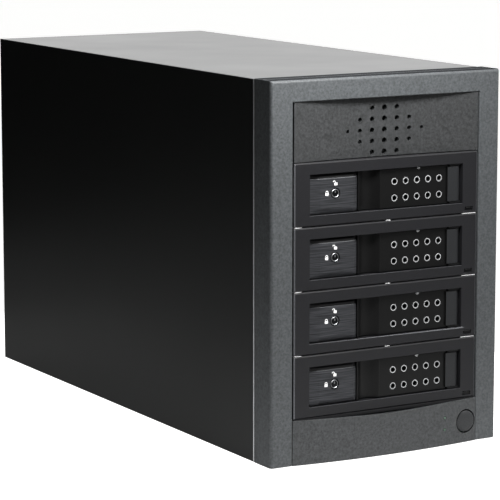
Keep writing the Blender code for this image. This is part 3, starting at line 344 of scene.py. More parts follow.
def grained_finish(name, grain, dark, light, roughness, detail=2.0):
    """A plain finish whose colour wanders over grains of the given size in metres."""
    made, tree, shader = new_material(name)
    place = add_node(tree, "ShaderNodeTexCoord")
    grains = add_node(tree, "ShaderNodeTexNoise", inputs={
        "Vector": place.outputs["Object"], "Scale": 1.0 / grain, "Detail": detail})
    tone = add_node(tree, "ShaderNodeMix", {"data_type": "RGBA"}, {
        0: grains.outputs["Fac"], 6: linear(dark), 7: linear(light)})
    tree.links.new(tone.outputs[2], shader.inputs["Base Color"])
    shader.inputs["Roughness"].default_value = roughness
    return made, tree, shader, grains


RUBBER, tree, shader, dust = grained_finish(
    "moulded_black_rubber", 1 / 900, "#161616", RUBBER_HEX, 0.85, 4.0)
bump = add_node(tree, "ShaderNodeBump", inputs={
    "Strength": 0.3, "Distance": 0.0001, "Height": dust.outputs["Fac"]})
tree.links.new(bump.outputs["Normal"], shader.inputs["Normal"])
for end in ("front", "rear"):
    for side in ("left", "right"):
        softened_node(f"foot_{end}_{side}", f"rubber_foot_{end}_{side}", 0.0005,
                      RUBBER, "case", segments=3)

# ------------------------------------------------------------ backplanes, boards
# Fibreglass boards under a glossy green solder mask, through which the copper lines
# show faintly. The chips are matt epoxy, and the can capacitors bare aluminium.
MASK_HEX = "#1f5a3c"
TRACE_PITCH = 0.0016       # metres between the faint copper lines
BOARD, tree, shader = new_material("solder_masked_fibreglass")
place = add_node(tree, "ShaderNodeTexCoord")
lines = add_node(tree, "ShaderNodeTexBrick", {"offset": 0.5}, {
    "Vector": place.outputs["Object"], "Scale": 1.0, "Mortar Size": 0.06 * TRACE_PITCH,
    "Brick Width": 9 * TRACE_PITCH, "Row Height": TRACE_PITCH,
    "Color1": linear(MASK_HEX), "Color2": linear("#1b5237"), "Mortar": linear("#2f7a55")})
tree.links.new(lines.outputs["Color"], shader.inputs["Base Color"])
shader.inputs["Roughness"].default_value = 0.35
shader.inputs["Coat Weight"].default_value = 0.3

EPOXY = grained_finish("matt_chip_epoxy", 1 / 2500, "#1a1a1b", "#242425", 0.6)[0]


def bright_metal(name, colour, roughness, brush):
    """Plain bright metal with fine drawing lines across the brush axis."""
    made, tree, shader = new_material(name)
    place = add_node(tree, "ShaderNodeTexCoord")
    run = add_node(tree, "ShaderNodeMapping", inputs={
        "Vector": place.outputs["Object"], "Scale": brush})
    lines = add_node(tree, "ShaderNodeTexNoise", inputs={
        "Vector": run.outputs["Vector"], "Scale": 1.0, "Detail": 3.0})
    gloss = add_node(tree, "ShaderNodeMapRange", inputs={
        "Value": lines.outputs["Fac"], "To Min": roughness * 0.7, "To Max": roughness * 1.3})
    tree.links.new(gloss.outputs["Result"], shader.inputs["Roughness"])
    bump = add_node(tree, "ShaderNodeBump", inputs={
        "Strength": 0.15, "Distance": 0.0001, "Height": lines.outputs["Fac"]})
    tree.links.new(bump.outputs["Normal"], shader.inputs["Normal"])
    shader.inputs["Base Color"].default_value = linear(colour)
    shader.inputs["Metallic"].default_value = 1.0
    return made


CAN = bright_metal("drawn_aluminium_can", "#c9cacc", 0.3, (60.0, 60.0, 2500.0))
for bay in range(1, 5):
    low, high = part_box(f"bay_{bay}_backplane")
    softened_node(f"bay_{bay}_backplane", f"backplane_board_{bay}", 0.0001, BOARD,
                  "case", segments=1)
    bm = bmesh.new()
    for share, wide, tall in ((0.22, 0.009, 0.009), (0.40, 0.005, 0.004), (0.62, 0.012, 0.006)):
        x = low[0] + (high[0] - low[0]) * share
        box_into(bm, (x, high[1] + 0.0001, low[2] + 0.018),
                 (x + wide, high[1] + 0.0016, low[2] + 0.018 + tall))
    soften(bm, 0.0002)
    set_down(f"backplane_chips_{bay}", bm, EPOXY, "case")

low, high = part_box("controller_board")
softened_node("controller_board", "controller_board_on_posts", 0.0001, BOARD, "case",
              segments=1)
BOARD_TOP = high[2]
bm = bmesh.new()
CHIPS = (                  # x, y behind the board's front edge, width, depth, height
    (-0.060, 0.020, 0.014, 0.020, 0.0015), (-0.030, 0.045, 0.010, 0.010, 0.0012),
    (0.055, 0.030, 0.016, 0.007, 0.006), (0.055, 0.045, 0.016, 0.007, 0.006),
    (-0.012, 0.012, 0.006, 0.004, 0.001), (-0.050, 0.070, 0.007, 0.007, 0.001))
for x, y, wide, deep, tall in CHIPS:
    box_into(bm, (x, low[1] + y, BOARD_TOP + 0.0001),
             (x + wide, low[1] + y + deep, BOARD_TOP + tall))
soften(bm, 0.0002)
set_down("controller_chips", bm, EPOXY, "case")
bm = bmesh.new()
for index in range(6):
    spot = (-0.066 + 0.009 * index, low[1] + 0.006, BOARD_TOP + 0.0001)
    lathe_into(bm, ((0, 0.009), (0.0026, 0.009), (0.003, 0.0086), (0.003, 0.0014),
                    (0.0027, 0.001), (0.003, 0.0006), (0.003, 0), (0, 0)), spot, (0, 0, 1), 16)
set_down("capacitor_cans", bm, CAN, "case")
FINS = bright_metal("sawn_aluminium_fins", "#b9bbbe", 0.35, (90.0, 2500.0, 90.0))
softened_node("heat_sink", "finned_heat_sink", 0.0002, FINS, "case", segments=1)

# ---------------------------------------------------------------- rear sockets
# One network socket and two stacked USB sockets: folded nickel-plated shields with
# a black nylon body inside and gold-plated contact springs.
SHIELD = bright_metal("nickel_plated_shield", "#bfc0be", 0.25, (2000.0, 60.0, 60.0))
GOLD = bright_metal("gold_plated_contact", "#d8b25a", 0.2, (1500.0, 80.0, 1500.0))
NYLON = grained_finish("black_glass_filled_nylon", 1 / 1800, "#101011", "#1d1d1e", 0.4, 4.0)[0]
softened_node("lan_socket", "network_socket_shield", 0.00025, SHIELD, "case")
softened_node("usb_sockets", "usb_socket_shields", 0.0002, SHIELD, "case")
low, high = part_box("lan_socket")
middle = (low[0] + high[0]) / 2
bm = bmesh.new()
for index in range(8):
    x = middle + (index - 3.5) * 0.00102
    box_into(bm, (x - 0.00022, high[1] - 0.0125, high[2] - 0.0045),
             (x + 0.00022, high[1] - 0.0030, high[2] - 0.0040))
set_down("network_contacts", bm, GOLD, "case")
low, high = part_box("usb_sockets")
middle = (low[0] + high[0]) / 2
storey = (high[2] - low[2]) / 2
bm = bmesh.new()
contacts = bmesh.new()
for level in range(2):
    z = low[2] + storey * (level + 0.5)
    box_into(bm, (middle - 0.0050, high[1] - 0.0122, z + 0.0002),
             (middle + 0.0050, high[1] - 0.0012, z + 0.0019))
    for index in range(4):
        x = middle + (index - 1.5) * 0.0022
        box_into(contacts, (x - 0.0004, high[1] - 0.0110, z + 0.00005),
                 (x + 0.0004, high[1] - 0.0025, z + 0.0002))
soften(bm, 0.0002)
set_down("usb_tongues", bm, NYLON, "case")
set_down("usb_contacts", contacts, GOLD, "case")

# ------------------------------------------------------------ power controls board
# A small board behind the lower panel carries the push switch. It is the same green
# fibreglass as the other boards.
softened_node("switch_board", "power_switch_board", 0.0001, BOARD, "case",
              segments=1)

# ------------------------------------------------------------------ power supply
# A plated steel can with a mains inlet, a rocker switch and a small fan. Its seams
# are spot-welded, and it stands against the rear panel.
softened_node("psu_case", "power_supply_can", 0.0003, ZINC, "case")
GLOSS_BLACK, tree, shader = new_material("glossy_black_polyamide")
place = add_node(tree, "ShaderNodeTexCoord")
flow = add_node(tree, "ShaderNodeTexNoise", inputs={
    "Vector": place.outputs["Object"], "Scale": 300.0, "Detail": 3.0})
gloss = add_node(tree, "ShaderNodeMapRange", inputs={
    "Value": flow.outputs["Fac"], "To Min": 0.18, "To Max": 0.30})
tree.links.new(gloss.outputs["Result"], shader.inputs["Roughness"])
shader.inputs["Base Color"].default_value = linear("#141415")
softened_node("psu_inlet", "mains_inlet", 0.0005, GLOSS_BLACK, "case", segments=3)
low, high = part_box("psu_inlet")
middle = Vector(((low[0] + high[0]) / 2, 0, (low[2] + high[2]) / 2))
bm = bmesh.new()
for x, z in ((-0.007, -0.002), (0.0, 0.002), (0.007, -0.002)):
    box_into(bm, (middle.x + x - 0.00105, high[1] - 0.0128, middle.z + z - 0.00205),
             (middle.x + x + 0.00105, high[1] - 0.0028, middle.z + z + 0.00205))
soften(bm, 0.0004)
set_down("mains_pins", bm, SHIELD, "case")

low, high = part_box("psu_rocker")
bm = bmesh.new()
box_into(bm, low, high)
bmesh.ops.subdivide_edges(bm, edges=[edge for edge in bm.edges
                                     if abs(edge.verts[0].co.z - edge.verts[1].co.z) > 0.001],
                          cuts=7, use_grid_fill=True)
for vert in bm.verts:
    if vert.co.y > high[1] - 1e-6:
        share = (vert.co.z - low[2]) / (high[2] - low[2]) * 2 - 1
        vert.co.y -= 0.0009 * (1 - share * share)
soften(bm, 0.0003)
set_down("rocker_cap", bm, GLOSS_BLACK, "psu_rocker", ("psu_rocker",))

# -------------------------------------------------------------------------- fans
# Two axial fans in glass-filled nylon: a square frame, a turned hub with swept
# blades, and in front of each a bright welded wire guard.
WIRE = bright_metal("bright_nickel_wire", "#c6c8ca", 0.18, (120.0, 120.0, 120.0))
softened_node("fan_frame", "fan_frame_moulding", 0.0008, NYLON, "case")


def swept_blades_into(bm, centre, root, tip, depth, count, sweep, thick=0.0010):
    """Add a ring of twisted blades, each bent from a flat grid with a real wall."""
    for index in range(count):
        blade = bmesh.new()
        made = bmesh.ops.create_grid(blade, x_segments=8, y_segments=6, size=0.5)["verts"]
        for vert in made:
            out = vert.co.x + 0.5
            chord = vert.co.y
            radius = root + (tip - root) * out
            pitch = math.radians(52 - 22 * out)
            reach = depth * (0.80 + 0.15 * out)
            turn = sweep * out * out + chord * reach * math.cos(pitch) * 1.35 / radius
            bow = 0.10 * reach * (1 - 4 * chord * chord)
            along = chord * reach * math.sin(pitch) * 1.15 + bow
            vert.co = (radius * math.cos(turn), along, radius * math.sin(turn))
        bmesh.ops.solidify(blade, geom=blade.faces[:], thickness=thick)
        bmesh.ops.recalc_face_normals(blade, faces=blade.faces)
        spin = Matrix.Translation(centre) @ Matrix.Rotation(2 * math.pi * index / count, 4, "Y")
        bmesh.ops.transform(blade, matrix=spin, verts=blade.verts)
        loose = bpy.data.meshes.new("blade")
        blade.to_mesh(loose)
        blade.free()
        bm.from_mesh(loose)
        bpy.data.meshes.remove(loose)


for node, name, hub_radius in (("fan_rotor", "case_fan_rotor", 0.0190),
                               ("psu_fan_rotor", "supply_fan_rotor", 0.0085)):
    joint = next(made for made in frame["joints"] if made["child"] == node)
    low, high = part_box(node)
    centre = Vector(joint["pos_m"])
    half = (high[1] - low[1]) / 2
    tip = min(centre.x - low[0], high[2] - centre.z)
    bm = bmesh.new()
    lathe_into(bm, ((0, half), (hub_radius * 0.92, half), (hub_radius, half * 0.88),
                    (hub_radius, -half * 0.98), (hub_radius * 0.86, -half * 0.98),
                    (hub_radius * 0.86, half * 0.6), (0, half * 0.6)), centre, (0, 1, 0), 40)
    swept_blades_into(bm, centre, hub_radius - 0.0006, tip, 1.55 * half, 7, 0.55,
                      0.0010 if tip > 0.03 else 0.0007)
    set_down(name, bm, NYLON, node, (node,))


def wire_ring_into(bm, middle, radius, wire, steps=56):
    """Add one closed ring of round wire about the Y axis."""
    made = bmesh.ops.create_circle(bm, cap_ends=False, segments=10, radius=wire / 2)["verts"]
    bmesh.ops.translate(bm, vec=Vector(middle) + Vector((radius, 0, 0)), verts=made)
    edges = list({edge for vert in made for edge in vert.link_edges})
    bmesh.ops.spin(bm, geom=[*made, *edges], cent=middle, axis=(0, 1, 0),
                   angle=2 * math.pi, steps=steps, use_merge=True)


low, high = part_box("fan_guard")
middle = Vector(((low[0] + high[0]) / 2, (low[1] + high[1]) / 2, (low[2] + high[2]) / 2))
guard_radius = (high[0] - low[0]) / 2
wire = high[1] - low[1]
bm = bmesh.new()
for index in range(7):
    radius = guard_radius * (index + 1) / 7 - wire / 2
    wire_ring_into(bm, middle - Vector((0, wire * 0.22, 0)), radius, wire * 0.55)
for index in range(4):
    angle = math.radians(45 + 90 * index)
    spoke = rod_into(bm, wire * 0.26, (0, 0, 0), guard_radius * 0.99, "X", 10)
    place = (Matrix.Translation(middle + Vector((0, wire * 0.22, 0)))
             @ Matrix.Rotation(angle, 4, "Y") @ Matrix.Translation((guard_radius * 0.505, 0, 0)))
    bmesh.ops.transform(bm, matrix=place, verts=spoke)
bmesh.ops.recalc_face_normals(bm, faces=bm.faces)
set_down("wire_fan_guard", bm, WIRE, "case", ("fan_guard",))
low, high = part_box("psu_fan_rotor")
middle = Vector(((low[0] + high[0]) / 2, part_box("psu_case")[1][1] - 0.0006, (low[2] + high[2]) / 2))
bm = bmesh.new()
for index in range(4):
    wire_ring_into(bm, middle, 0.0180 * (index + 1) / 4.1, 0.0007, 40)
for axis in ("X", "Z"):
    rod_into(bm, 0.00035, middle + Vector((0, 0.0007, 0)), 0.0350, axis, 8)
bmesh.ops.recalc_face_normals(bm, faces=bm.faces)
set_down("supply_fan_guard", bm, WIRE, "case")

# -------------------------------------------------------- rear panel and cover
# The rear panel and the wrap-over cover are sheet steel under a satin black powder
# coat. It leaves a fine orange peel, which breaks up the sheen at a low angle.
PAINT_HEX = "#1c1d1d"
PEEL_SIZE = 0.0011         # metres across one ripple of the coating
PAINT_ROUGHNESS = (0.28, 0.36)

PAINT, tree, shader = new_material("satin_black_powder_coat")
place = add_node(tree, "ShaderNodeTexCoord")
peel = add_node(tree, "ShaderNodeTexNoise", inputs={
    "Vector": place.outputs["Object"], "Scale": 1.0 / PEEL_SIZE, "Detail": 3.0, "Roughness": 0.6})
cloud = add_node(tree, "ShaderNodeTexNoise", inputs={
    "Vector": place.outputs["Object"], "Scale": 14.0, "Detail": 2.0})
tone = add_node(tree, "ShaderNodeMix", {"data_type": "RGBA"}, {
    0: peel.outputs["Fac"], 6: linear("#161716"), 7: linear(PAINT_HEX)})
gloss = add_node(tree, "ShaderNodeMapRange", inputs={
    "Value": cloud.outputs["Fac"], "To Min": PAINT_ROUGHNESS[0], "To Max": PAINT_ROUGHNESS[1]})
bump = add_node(tree, "ShaderNodeBump", inputs={
    "Strength": 0.10, "Distance": 0.0001, "Height": peel.outputs["Fac"]})
tree.links.new(tone.outputs[2], shader.inputs["Base Color"])
tree.links.new(gloss.outputs["Result"], shader.inputs["Roughness"])
tree.links.new(bump.outputs["Normal"], shader.inputs["Normal"])
softened_node("rear_panel", "painted_rear_panel", 0.0002, PAINT, "case")

# The cover's front edge is coloured light grey in a band down each side, beside the
# moulding: a painted highlight line, drawn as wide as it needs to show.
COVER_EDGE = 0.0004
HIGHLIGHT_EDGE = 0.0012
PAINTED_EDGE_HIGHLIGHT = grained_finish("painted_highlight_edge_line", HIGHLIGHT_EDGE, "#c4c6c7", "#dcdedf", 0.5)[0]
bm = merged_copy("top_cover")
soften(bm, COVER_EDGE, 24, 3)
highlight_to = max(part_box("top_cover")[0][1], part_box("front_frame")[1][1]) + HIGHLIGHT_EDGE
bmesh.ops.bisect_plane(bm, geom=[*bm.verts, *bm.edges, *bm.faces], dist=1e-6,
                       plane_co=(0, highlight_to, 0), plane_no=(0, 1, 0))
# The side faces in front of this line take the light grey: a painted highlight line.
for face in bm.faces:
    middle = face.calc_center_median()
    if middle.y < highlight_to and abs(face.normal.x) > 0.9:
        face.material_index = 1
set_down("wrapped_cover", bm, (PAINT, PAINTED_EDGE_HIGHLIGHT), "case", ("top_cover",))

# ------------------------------------------------------------------- front frame
# The front surround is one ABS moulding, dark grey with a finely mottled skin. It
# clips over the front plate, and its outer corners are rounded.
MOTTLE = 0.0017            # metres across one speck of the skin


def mottled_abs(name, dark, light, roughness, mottle=MOTTLE):
    """Spark-textured ABS: irregular lighter and darker specks with a dull sheen."""
    made, tree, shader = new_material(name)
    place = add_node(tree, "ShaderNodeTexCoord")
    specks = add_node(tree, "ShaderNodeTexNoise", inputs={
        "Vector": place.outputs["Object"], "Scale": 1.0 / mottle, "Detail": 5.0, "Roughness": 0.7})
    spread = add_node(tree, "ShaderNodeMapRange", inputs={
        "Value": specks.outputs["Fac"], "From Min": 0.34, "From Max": 0.66})
    tone = add_node(tree, "ShaderNodeMix", {"data_type": "RGBA"}, {
        0: spread.outputs["Result"], 6: linear(dark), 7: linear(light)})
    bump = add_node(tree, "ShaderNodeBump", inputs={
        "Strength": 0.25, "Distance": 0.0001, "Height": specks.outputs["Fac"]})
    tree.links.new(tone.outputs[2], shader.inputs["Base Color"])
    tree.links.new(bump.outputs["Normal"], shader.inputs["Normal"])
    shader.inputs["Roughness"].default_value = roughness
    return made


ABS = mottled_abs("spark_textured_grey_abs", "#3a3c3d", "#535658", 0.50)
# The upper side of the moulding is drawn from the tool matt and coloured a darker grey:
# painted shade, so it stays dark at a low angle where the painted cover behind it shines.
MATT_SHADED_ABS = mottled_abs("matt_painted_shade_grey_abs", "#1d1e20", "#2a2c2e", 0.9)
MATT_SHADED_ABS.node_tree.nodes["Principled BSDF"].inputs["Specular IOR Level"].default_value = 0.04
FRAME_EDGE = 0.0009
GROOVE_WIDE = 0.0008       # the line moulded across the top of the frame
GROOVE_DEEP = 0.0004
GROOVE_BACK = 0.0100       # behind the frame's face
SEAM_BACK = 0.0206         # a second line where the cover's edge tucks in
ABS.node_tree.nodes["Principled BSDF"].inputs["Specular IOR Level"].default_value = 0.40
low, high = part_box("front_frame")
bm = merged_copy("front_frame")
soften(bm, FRAME_EDGE, 30, 3)
for back in (GROOVE_BACK, SEAM_BACK):
    for line in (low[1] + back, low[1] + back + GROOVE_WIDE):
        bmesh.ops.bisect_plane(bm, geom=[*bm.verts, *bm.edges, *bm.faces], dist=1e-6,
                               plane_co=(0, line, 0), plane_no=(0, 1, 0))
    strip = [face for face in bm.faces if face.normal.z > 0.95
             and face.calc_center_median().z > high[2] - 0.0002
             and low[1] + back < face.calc_center_median().y < low[1] + back + GROOVE_WIDE]
    sunk = bmesh.ops.extrude_face_region(bm, geom=strip)["geom"]
    bmesh.ops.translate(bm, vec=(0, 0, -GROOVE_DEEP),
                        verts=[item for item in sunk if isinstance(item, bmesh.types.BMVert)])
# Its top faces take the darker grey: painted shade.
for face in bm.faces:
    middle = face.calc_center_median()
    if face.normal.z > 0.85 and middle.z > high[2] - 0.0008 and middle.y > low[1] + FRAME_EDGE:
        face.material_index = 1
set_down("front_surround", bm, (ABS, MATT_SHADED_ABS), "case", ("front_frame",))

# -------------------------------------------------------------------- vent panel
# The dished panel above the bays is the same ABS, a shade darker, drilled with an
# octagon of air holes.
VENT_ABS = mottled_abs("spark_textured_charcoal_abs", "#252626", "#404142", 0.42)
softened_node("vent_panel", "drilled_vent_panel", 0.00025, VENT_ABS, "case",
              angle=30.0, segments=2)

# ----------------------------------------------- lower panel, button and lamps
# Below the bays a bowed ABS panel carries a domed push button in a round well and
# two small lamps. The button is smooth black ABS on a sprung stem.
LOW_ABS = mottled_abs("spark_textured_dark_abs", "#2f3031", "#484a4b", 0.42)
softened_node("lower_panel", "bowed_lower_panel", 0.0004, LOW_ABS, "case",
              angle=30.0, segments=3)
BUTTON_ABS = mottled_abs("satin_black_button_abs", "#2a2b2c", "#343536", 0.24, 0.0006)
softened_node("power_button", "domed_power_button", 0.0004, BUTTON_ABS, "power_button",
              angle=40.0, segments=3)
for node in ("power_lamp", "disk_lamp"):
    GREEN = grained_finish(f"cast_green_acrylic_{node}", 1 / 1500, "#46574c", "#56685c", 0.15)[0]
    softened_node(node, f"moulded_{node}", 0.0002, GREEN, "case", segments=2)

# A plain black strip closes the crescent between the lowest bay and the bowed top
# edge of the panel, a dark sheet standing in for the shade there: painted shade.
FILLER_DROP = 0.0024
FILLER_SETBACK = 0.0003
SHADE_FILLER_ABS = mottled_abs("painted_shade_filler_abs", "#1b1b1d", "#212123", 0.33, 0.0009)
low, high = min((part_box(f"bay_{bay}_front") for bay in (1, 4)), key=lambda box: box[0][2])
bm = bmesh.new()
box_into(bm, (low[0] + 0.0005, low[1] + FILLER_SETBACK, low[2] - FILLER_DROP),
         (high[0] - 0.0005, low[1] + 0.0030, low[2] - 0.00005))
soften(bm, 0.0001, 32, 2)
set_down("crescent_shade_strip", bm, SHADE_FILLER_ABS, "case")

# -------------------------------------------------------------------- bay fronts
# Each bay has its own smooth black ABS front with a pocket for the tray. Its side
# flats and the pocket's lower lip are coloured pale grey: painted highlights, seen as thin lines.
FRONT_FLAT = 0.0008
LIP_FLAT = 0.0007
BAY_ABS = mottled_abs("smooth_black_abs", "#1b1b1d", "#212123", 0.33, 0.0009)
HIGHLIGHT_ABS = mottled_abs("painted_highlight_black_abs", "#4c4d50", "#68696c", 0.30, 0.0009)
for bay in range(1, 5):
    node = f"bay_{bay}_front"
    low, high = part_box(node)
    bm = merged_copy(node)
    face_y = low[1] + 1e-5
    middle = (low[2] + high[2]) / 2

    def on_face(edge):
        return all(vert.co.y < face_y for vert in edge.verts)

    def on_rim(edge):
        return on_face(edge) and (
            all(min(abs(vert.co.z - low[2]), abs(vert.co.z - high[2])) < 1e-4
                for vert in edge.verts)
            or all(abs(abs(vert.co.x) - high[0]) < 1e-4 for vert in edge.verts))

    def on_lip(edge):
        a, b = edge.verts
        return (on_face(edge) and abs(a.co.z - b.co.z) < 1e-4 and abs(a.co.x - b.co.x) > 0.008
                and low[2] + 0.006 < a.co.z < middle)

    # The lip's bevel takes the pale grey: a painted highlight.
    lip = crease_edges(bm, 32, on_lip)
    lip_highlight = bmesh.ops.bevel(bm, geom=lip, offset=LIP_FLAT, offset_type="OFFSET", segments=2,
                               profile=0.5, affect="EDGES", clamp_overlap=True, material=-1)
    for face in lip_highlight["faces"]:
        face.material_index = 1
    # The side flats of the front take it as well: painted highlights.
    rim = crease_edges(bm, 32, on_rim)
    side_highlight = bmesh.ops.bevel(bm, geom=rim, offset=FRONT_FLAT, offset_type="OFFSET", segments=1,
                             profile=0.5, affect="EDGES", clamp_overlap=True, material=-1)
    for face in side_highlight["faces"]:
        if abs(face.normal.x) > 0.5:
            face.material_index = 1
    soften(bm, 0.00012, 40, 2)
    set_down(f"moulded_bay_front_{bay}", bm, (BAY_ABS, HIGHLIGHT_ABS), "case", (node,), 24)

# Spring fingers earth each bay to the next. They are coloured near white with little
# metal in the finish, so they show as three short glints in the gap under its front: painted glints.
FINGERS = ((-0.0722, -0.0670), (-0.0010, 0.0028), (0.0612, 0.0722))
FINGER_SETBACK = 0.0004    # behind the bay fronts
GLINT_WHITE_METAL = bright_metal("white_painted_glint_strip", "#ffffff", 0.50, (900.0, 90.0, 90.0))
GLINT_WHITE_METAL.node_tree.nodes["Principled BSDF"].inputs["Metallic"].default_value = 0.2
for bay in range(1, 5):
    low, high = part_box(f"bay_{bay}_front")
    bm = bmesh.new()
    for start, end in FINGERS:
        box_into(bm, (start, low[1] + FINGER_SETBACK, low[2] - 0.00042),
                 (end, low[1] + FINGER_SETBACK + 0.004, low[2] - 0.00006))
    soften(bm, 0.00010, 32, 2)
    set_down(f"earthing_fingers_{bay}", bm, GLINT_WHITE_METAL, "case")

# The lens over each bay's lamp is an oval of smoked acrylic with a domed face.
LENS = grained_finish("smoked_black_acrylic", 1 / 800, "#050506", "#0a0a0b", 0.2)[0]
for bay in range(1, 5):
    softened_node(f"bay_{bay}_lamp_lens", f"oval_lens_{bay}", 0.0003, LENS, "case",
                  angle=30.0, segments=3)

# ------------------------------------------------------------------------- trays
# The trays are black ABS mouldings that carry a drive between two rails. They are
# darker than the bay fronts, with an even satin skin.
TRAY_ABS = mottled_abs("black_tray_abs", "#0c0c0d", "#121213", 0.4, 0.0008)
for bay in range(1, 5):
    softened_node(f"bay_{bay}_tray", f"drive_tray_{bay}", 0.0003, TRAY_ABS, f"tray_{bay}",
                  angle=30.0, segments=2)

# ---------------------------------------------------------------- release plates
# A thick aluminium plate, brushed from side to side and dyed black. Its left side
# falls away in a broad flat, the others in narrow ones, all mitred at the corners.
PLATE_FALL = 0.0013        # the edge is this much behind the face
PLATE_FLATS = (0.0072, 0.0030, 0.0026, 0.0012)  # left, right, lower and upper
SHADE_BAND_TALL = 0.0031          # the dark band along the plate's top edge, painted shade
SHADE_BAND_STEP = 0.0006          # and how far it lies below the plate's face
PLATE_CORNER = 0.0016
BRUSH_PITCH = 0.00055      # metres between the brush lines, coarse enough to show
BRUSH_LENGTH = 0.030

BRUSHED, tree, shader = new_material("brushed_black_anodised_aluminium")
place = add_node(tree, "ShaderNodeTexCoord")
run = add_node(tree, "ShaderNodeMapping", inputs={
    "Vector": place.outputs["Object"],
    "Scale": (1.0 / BRUSH_LENGTH, 1.0 / BRUSH_LENGTH, 1.0 / BRUSH_PITCH)})
lines = add_node(tree, "ShaderNodeTexNoise", inputs={
    "Vector": run.outputs["Vector"], "Scale": 1.0, "Detail": 3.0, "Roughness": 0.6})
spread = add_node(tree, "ShaderNodeMapRange", inputs={
    "Value": lines.outputs["Fac"], "From Min": 0.32, "From Max": 0.68})
tone = add_node(tree, "ShaderNodeMix", {"data_type": "RGBA"}, {
    0: spread.outputs["Result"], 6: linear("#2c2d2f"), 7: linear("#626367")})
gloss = add_node(tree, "ShaderNodeMapRange", inputs={
    "Value": lines.outputs["Fac"], "To Min": 0.32, "To Max": 0.48})
bump = add_node(tree, "ShaderNodeBump", inputs={
    "Strength": 0.25, "Distance": 0.0001, "Height": lines.outputs["Fac"]})
tree.links.new(tone.outputs[2], shader.inputs["Base Color"])
tree.links.new(gloss.outputs["Result"], shader.inputs["Roughness"])
tree.links.new(bump.outputs["Normal"], shader.inputs["Normal"])
shader.inputs["Metallic"].default_value = 0.7
for bay in range(1, 5):
    node = f"bay_{bay}_release"
    low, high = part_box(node)
    bm = merged_copy(node)
    left, right, lower, upper = PLATE_FLATS
    flats = ((low[0] + left, 0, -1), (high[0] - right, 0, 1),
             (low[2] + lower, 2, -1), (high[2] - upper, 2, 1))
    bmesh.ops.bevel(bm, geom=[edge for edge in crease_edges(bm, 60) if all(
        abs(vert.co.x - low[0]) < 1e-5 or abs(vert.co.x - high[0]) < 1e-5 for vert in edge.verts)
        and abs(edge.verts[0].co.y - edge.verts[1].co.y) > 0.003],
        offset=PLATE_CORNER, offset_type="OFFSET", segments=4, profile=0.5,
        affect="EDGES", clamp_overlap=True, material=-1)
    for line, axis, _ in flats:
        point = [0.0, 0.0, 0.0]
        point[axis] = line
        normal = [0.0, 0.0, 0.0]
        normal[axis] = 1.0
        bmesh.ops.bisect_plane(bm, geom=[*bm.verts, *bm.edges, *bm.faces], dist=1e-6,
                               plane_co=point, plane_no=normal)
    widths = (left, right, lower, upper)
    for vert in bm.verts:
        if vert.co.y < low[1] + 1e-5:
            past = [max(0.0, (vert.co[axis] - line) * way) / width
                    for (line, axis, way), width in zip(flats, widths)]
            vert.co.y += PLATE_FALL * max(past)
    shade_band_line = high[2] - SHADE_BAND_TALL
    for line in (shade_band_line, shade_band_line + SHADE_BAND_STEP / 2):
        bmesh.ops.bisect_plane(bm, geom=[*bm.verts, *bm.edges, *bm.faces], dist=1e-6,
                               plane_co=(0, 0, line), plane_no=(0, 0, 1))
    for vert in bm.verts:
        if vert.co.z > shade_band_line + SHADE_BAND_STEP / 4 and vert.co.y < low[1] + PLATE_FALL + 1e-5:
            vert.co.y += SHADE_BAND_STEP
    # The top band takes the black tray ABS: painted shade. The step face under it takes the pale grey:
    # a painted highlight line.
    for face in bm.faces:
        middle = face.calc_center_median()
        if middle.z > shade_band_line + SHADE_BAND_STEP / 2:
            face.material_index = 1
        elif middle.z > shade_band_line and face.normal.y < -0.2:
            face.material_index = 2
    set_down(f"release_plate_{bay}", bm, (BRUSHED, TRAY_ABS, HIGHLIGHT_ABS), f"release_{bay}",
             (node,), 8)

# Two white padlocks are pad-printed on each release plate: a closed one left of the
# lock and an open one above it.
INK_THICK = 0.00006
ICON_BODY = (0.0024, 0.0019)
SHACKLE_RADIUS = 0.00085
SHACKLE_LINE = 0.00050
INK = grained_finish("pad_printed_white_ink", 1 / 4000, "#e6e6e4", "#ffffff", 0.55)[0]


def padlock_into(bm, middle, swing):
    """Add one flat padlock; swing shifts its shackle off the body, for an open one."""
    wide, tall = ICON_BODY
    x, y, z = middle
    body = box_into(bm, (x - wide / 2, y, z - tall), (x + wide / 2, y + INK_THICK, z))
    bmesh.ops.bevel(bm, geom=[edge for edge in {e for v in body for e in v.link_edges}
                              if abs(edge.verts[0].co.y - edge.verts[1].co.y) > INK_THICK / 2],
                    offset=0.0003, offset_type="OFFSET", segments=2, profile=0.5,
                    affect="EDGES", clamp_overlap=True, material=-1)
    ring = bmesh.new()
    start = box_into(ring, (SHACKLE_RADIUS - SHACKLE_LINE / 2, 0, -0.0003),
                     (SHACKLE_RADIUS + SHACKLE_LINE / 2, INK_THICK, 0))
    top = [face for face in ring.faces if face.normal.z > 0.9]
    bmesh.ops.spin(ring, geom=top, cent=(0, 0, 0), axis=(0, -1, 0), angle=math.pi, steps=10)
    bmesh.ops.delete(ring, geom=[face for face in top if face.is_valid], context="FACES")
    far = [face for face in ring.faces if face.normal.z < -0.9 and face.calc_center_median().x < 0]
    for face in far:
        bmesh.ops.extrude_discrete_faces(ring, faces=[face])
    bmesh.ops.recalc_face_normals(ring, faces=ring.faces)
    bmesh.ops.translate(ring, vec=(x + swing, y, z + 0.0003), verts=ring.verts)
    loose = bpy.data.meshes.new("shackle")
    ring.to_mesh(loose)
    ring.free()
    bm.from_mesh(loose)
    bpy.data.meshes.remove(loose)


for bay in range(1, 5):
    low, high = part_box(f"bay_{bay}_release")
    lock_low, lock_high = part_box(f"bay_{bay}_key_lock")
    lock = Vector(((lock_low[0] + lock_high[0]) / 2, 0, (lock_low[2] + lock_high[2]) / 2))
    bm = bmesh.new()
    padlock_into(bm, (lock.x - 0.0067, low[1] - 0.00003, lock.z + 0.0006), 0.0)
    padlock_into(bm, (lock.x + 0.0002, low[1] - 0.00003, lock.z + 0.0072), -0.0013)
    set_down(f"printed_padlocks_{bay}", bm, INK, f"release_{bay}")

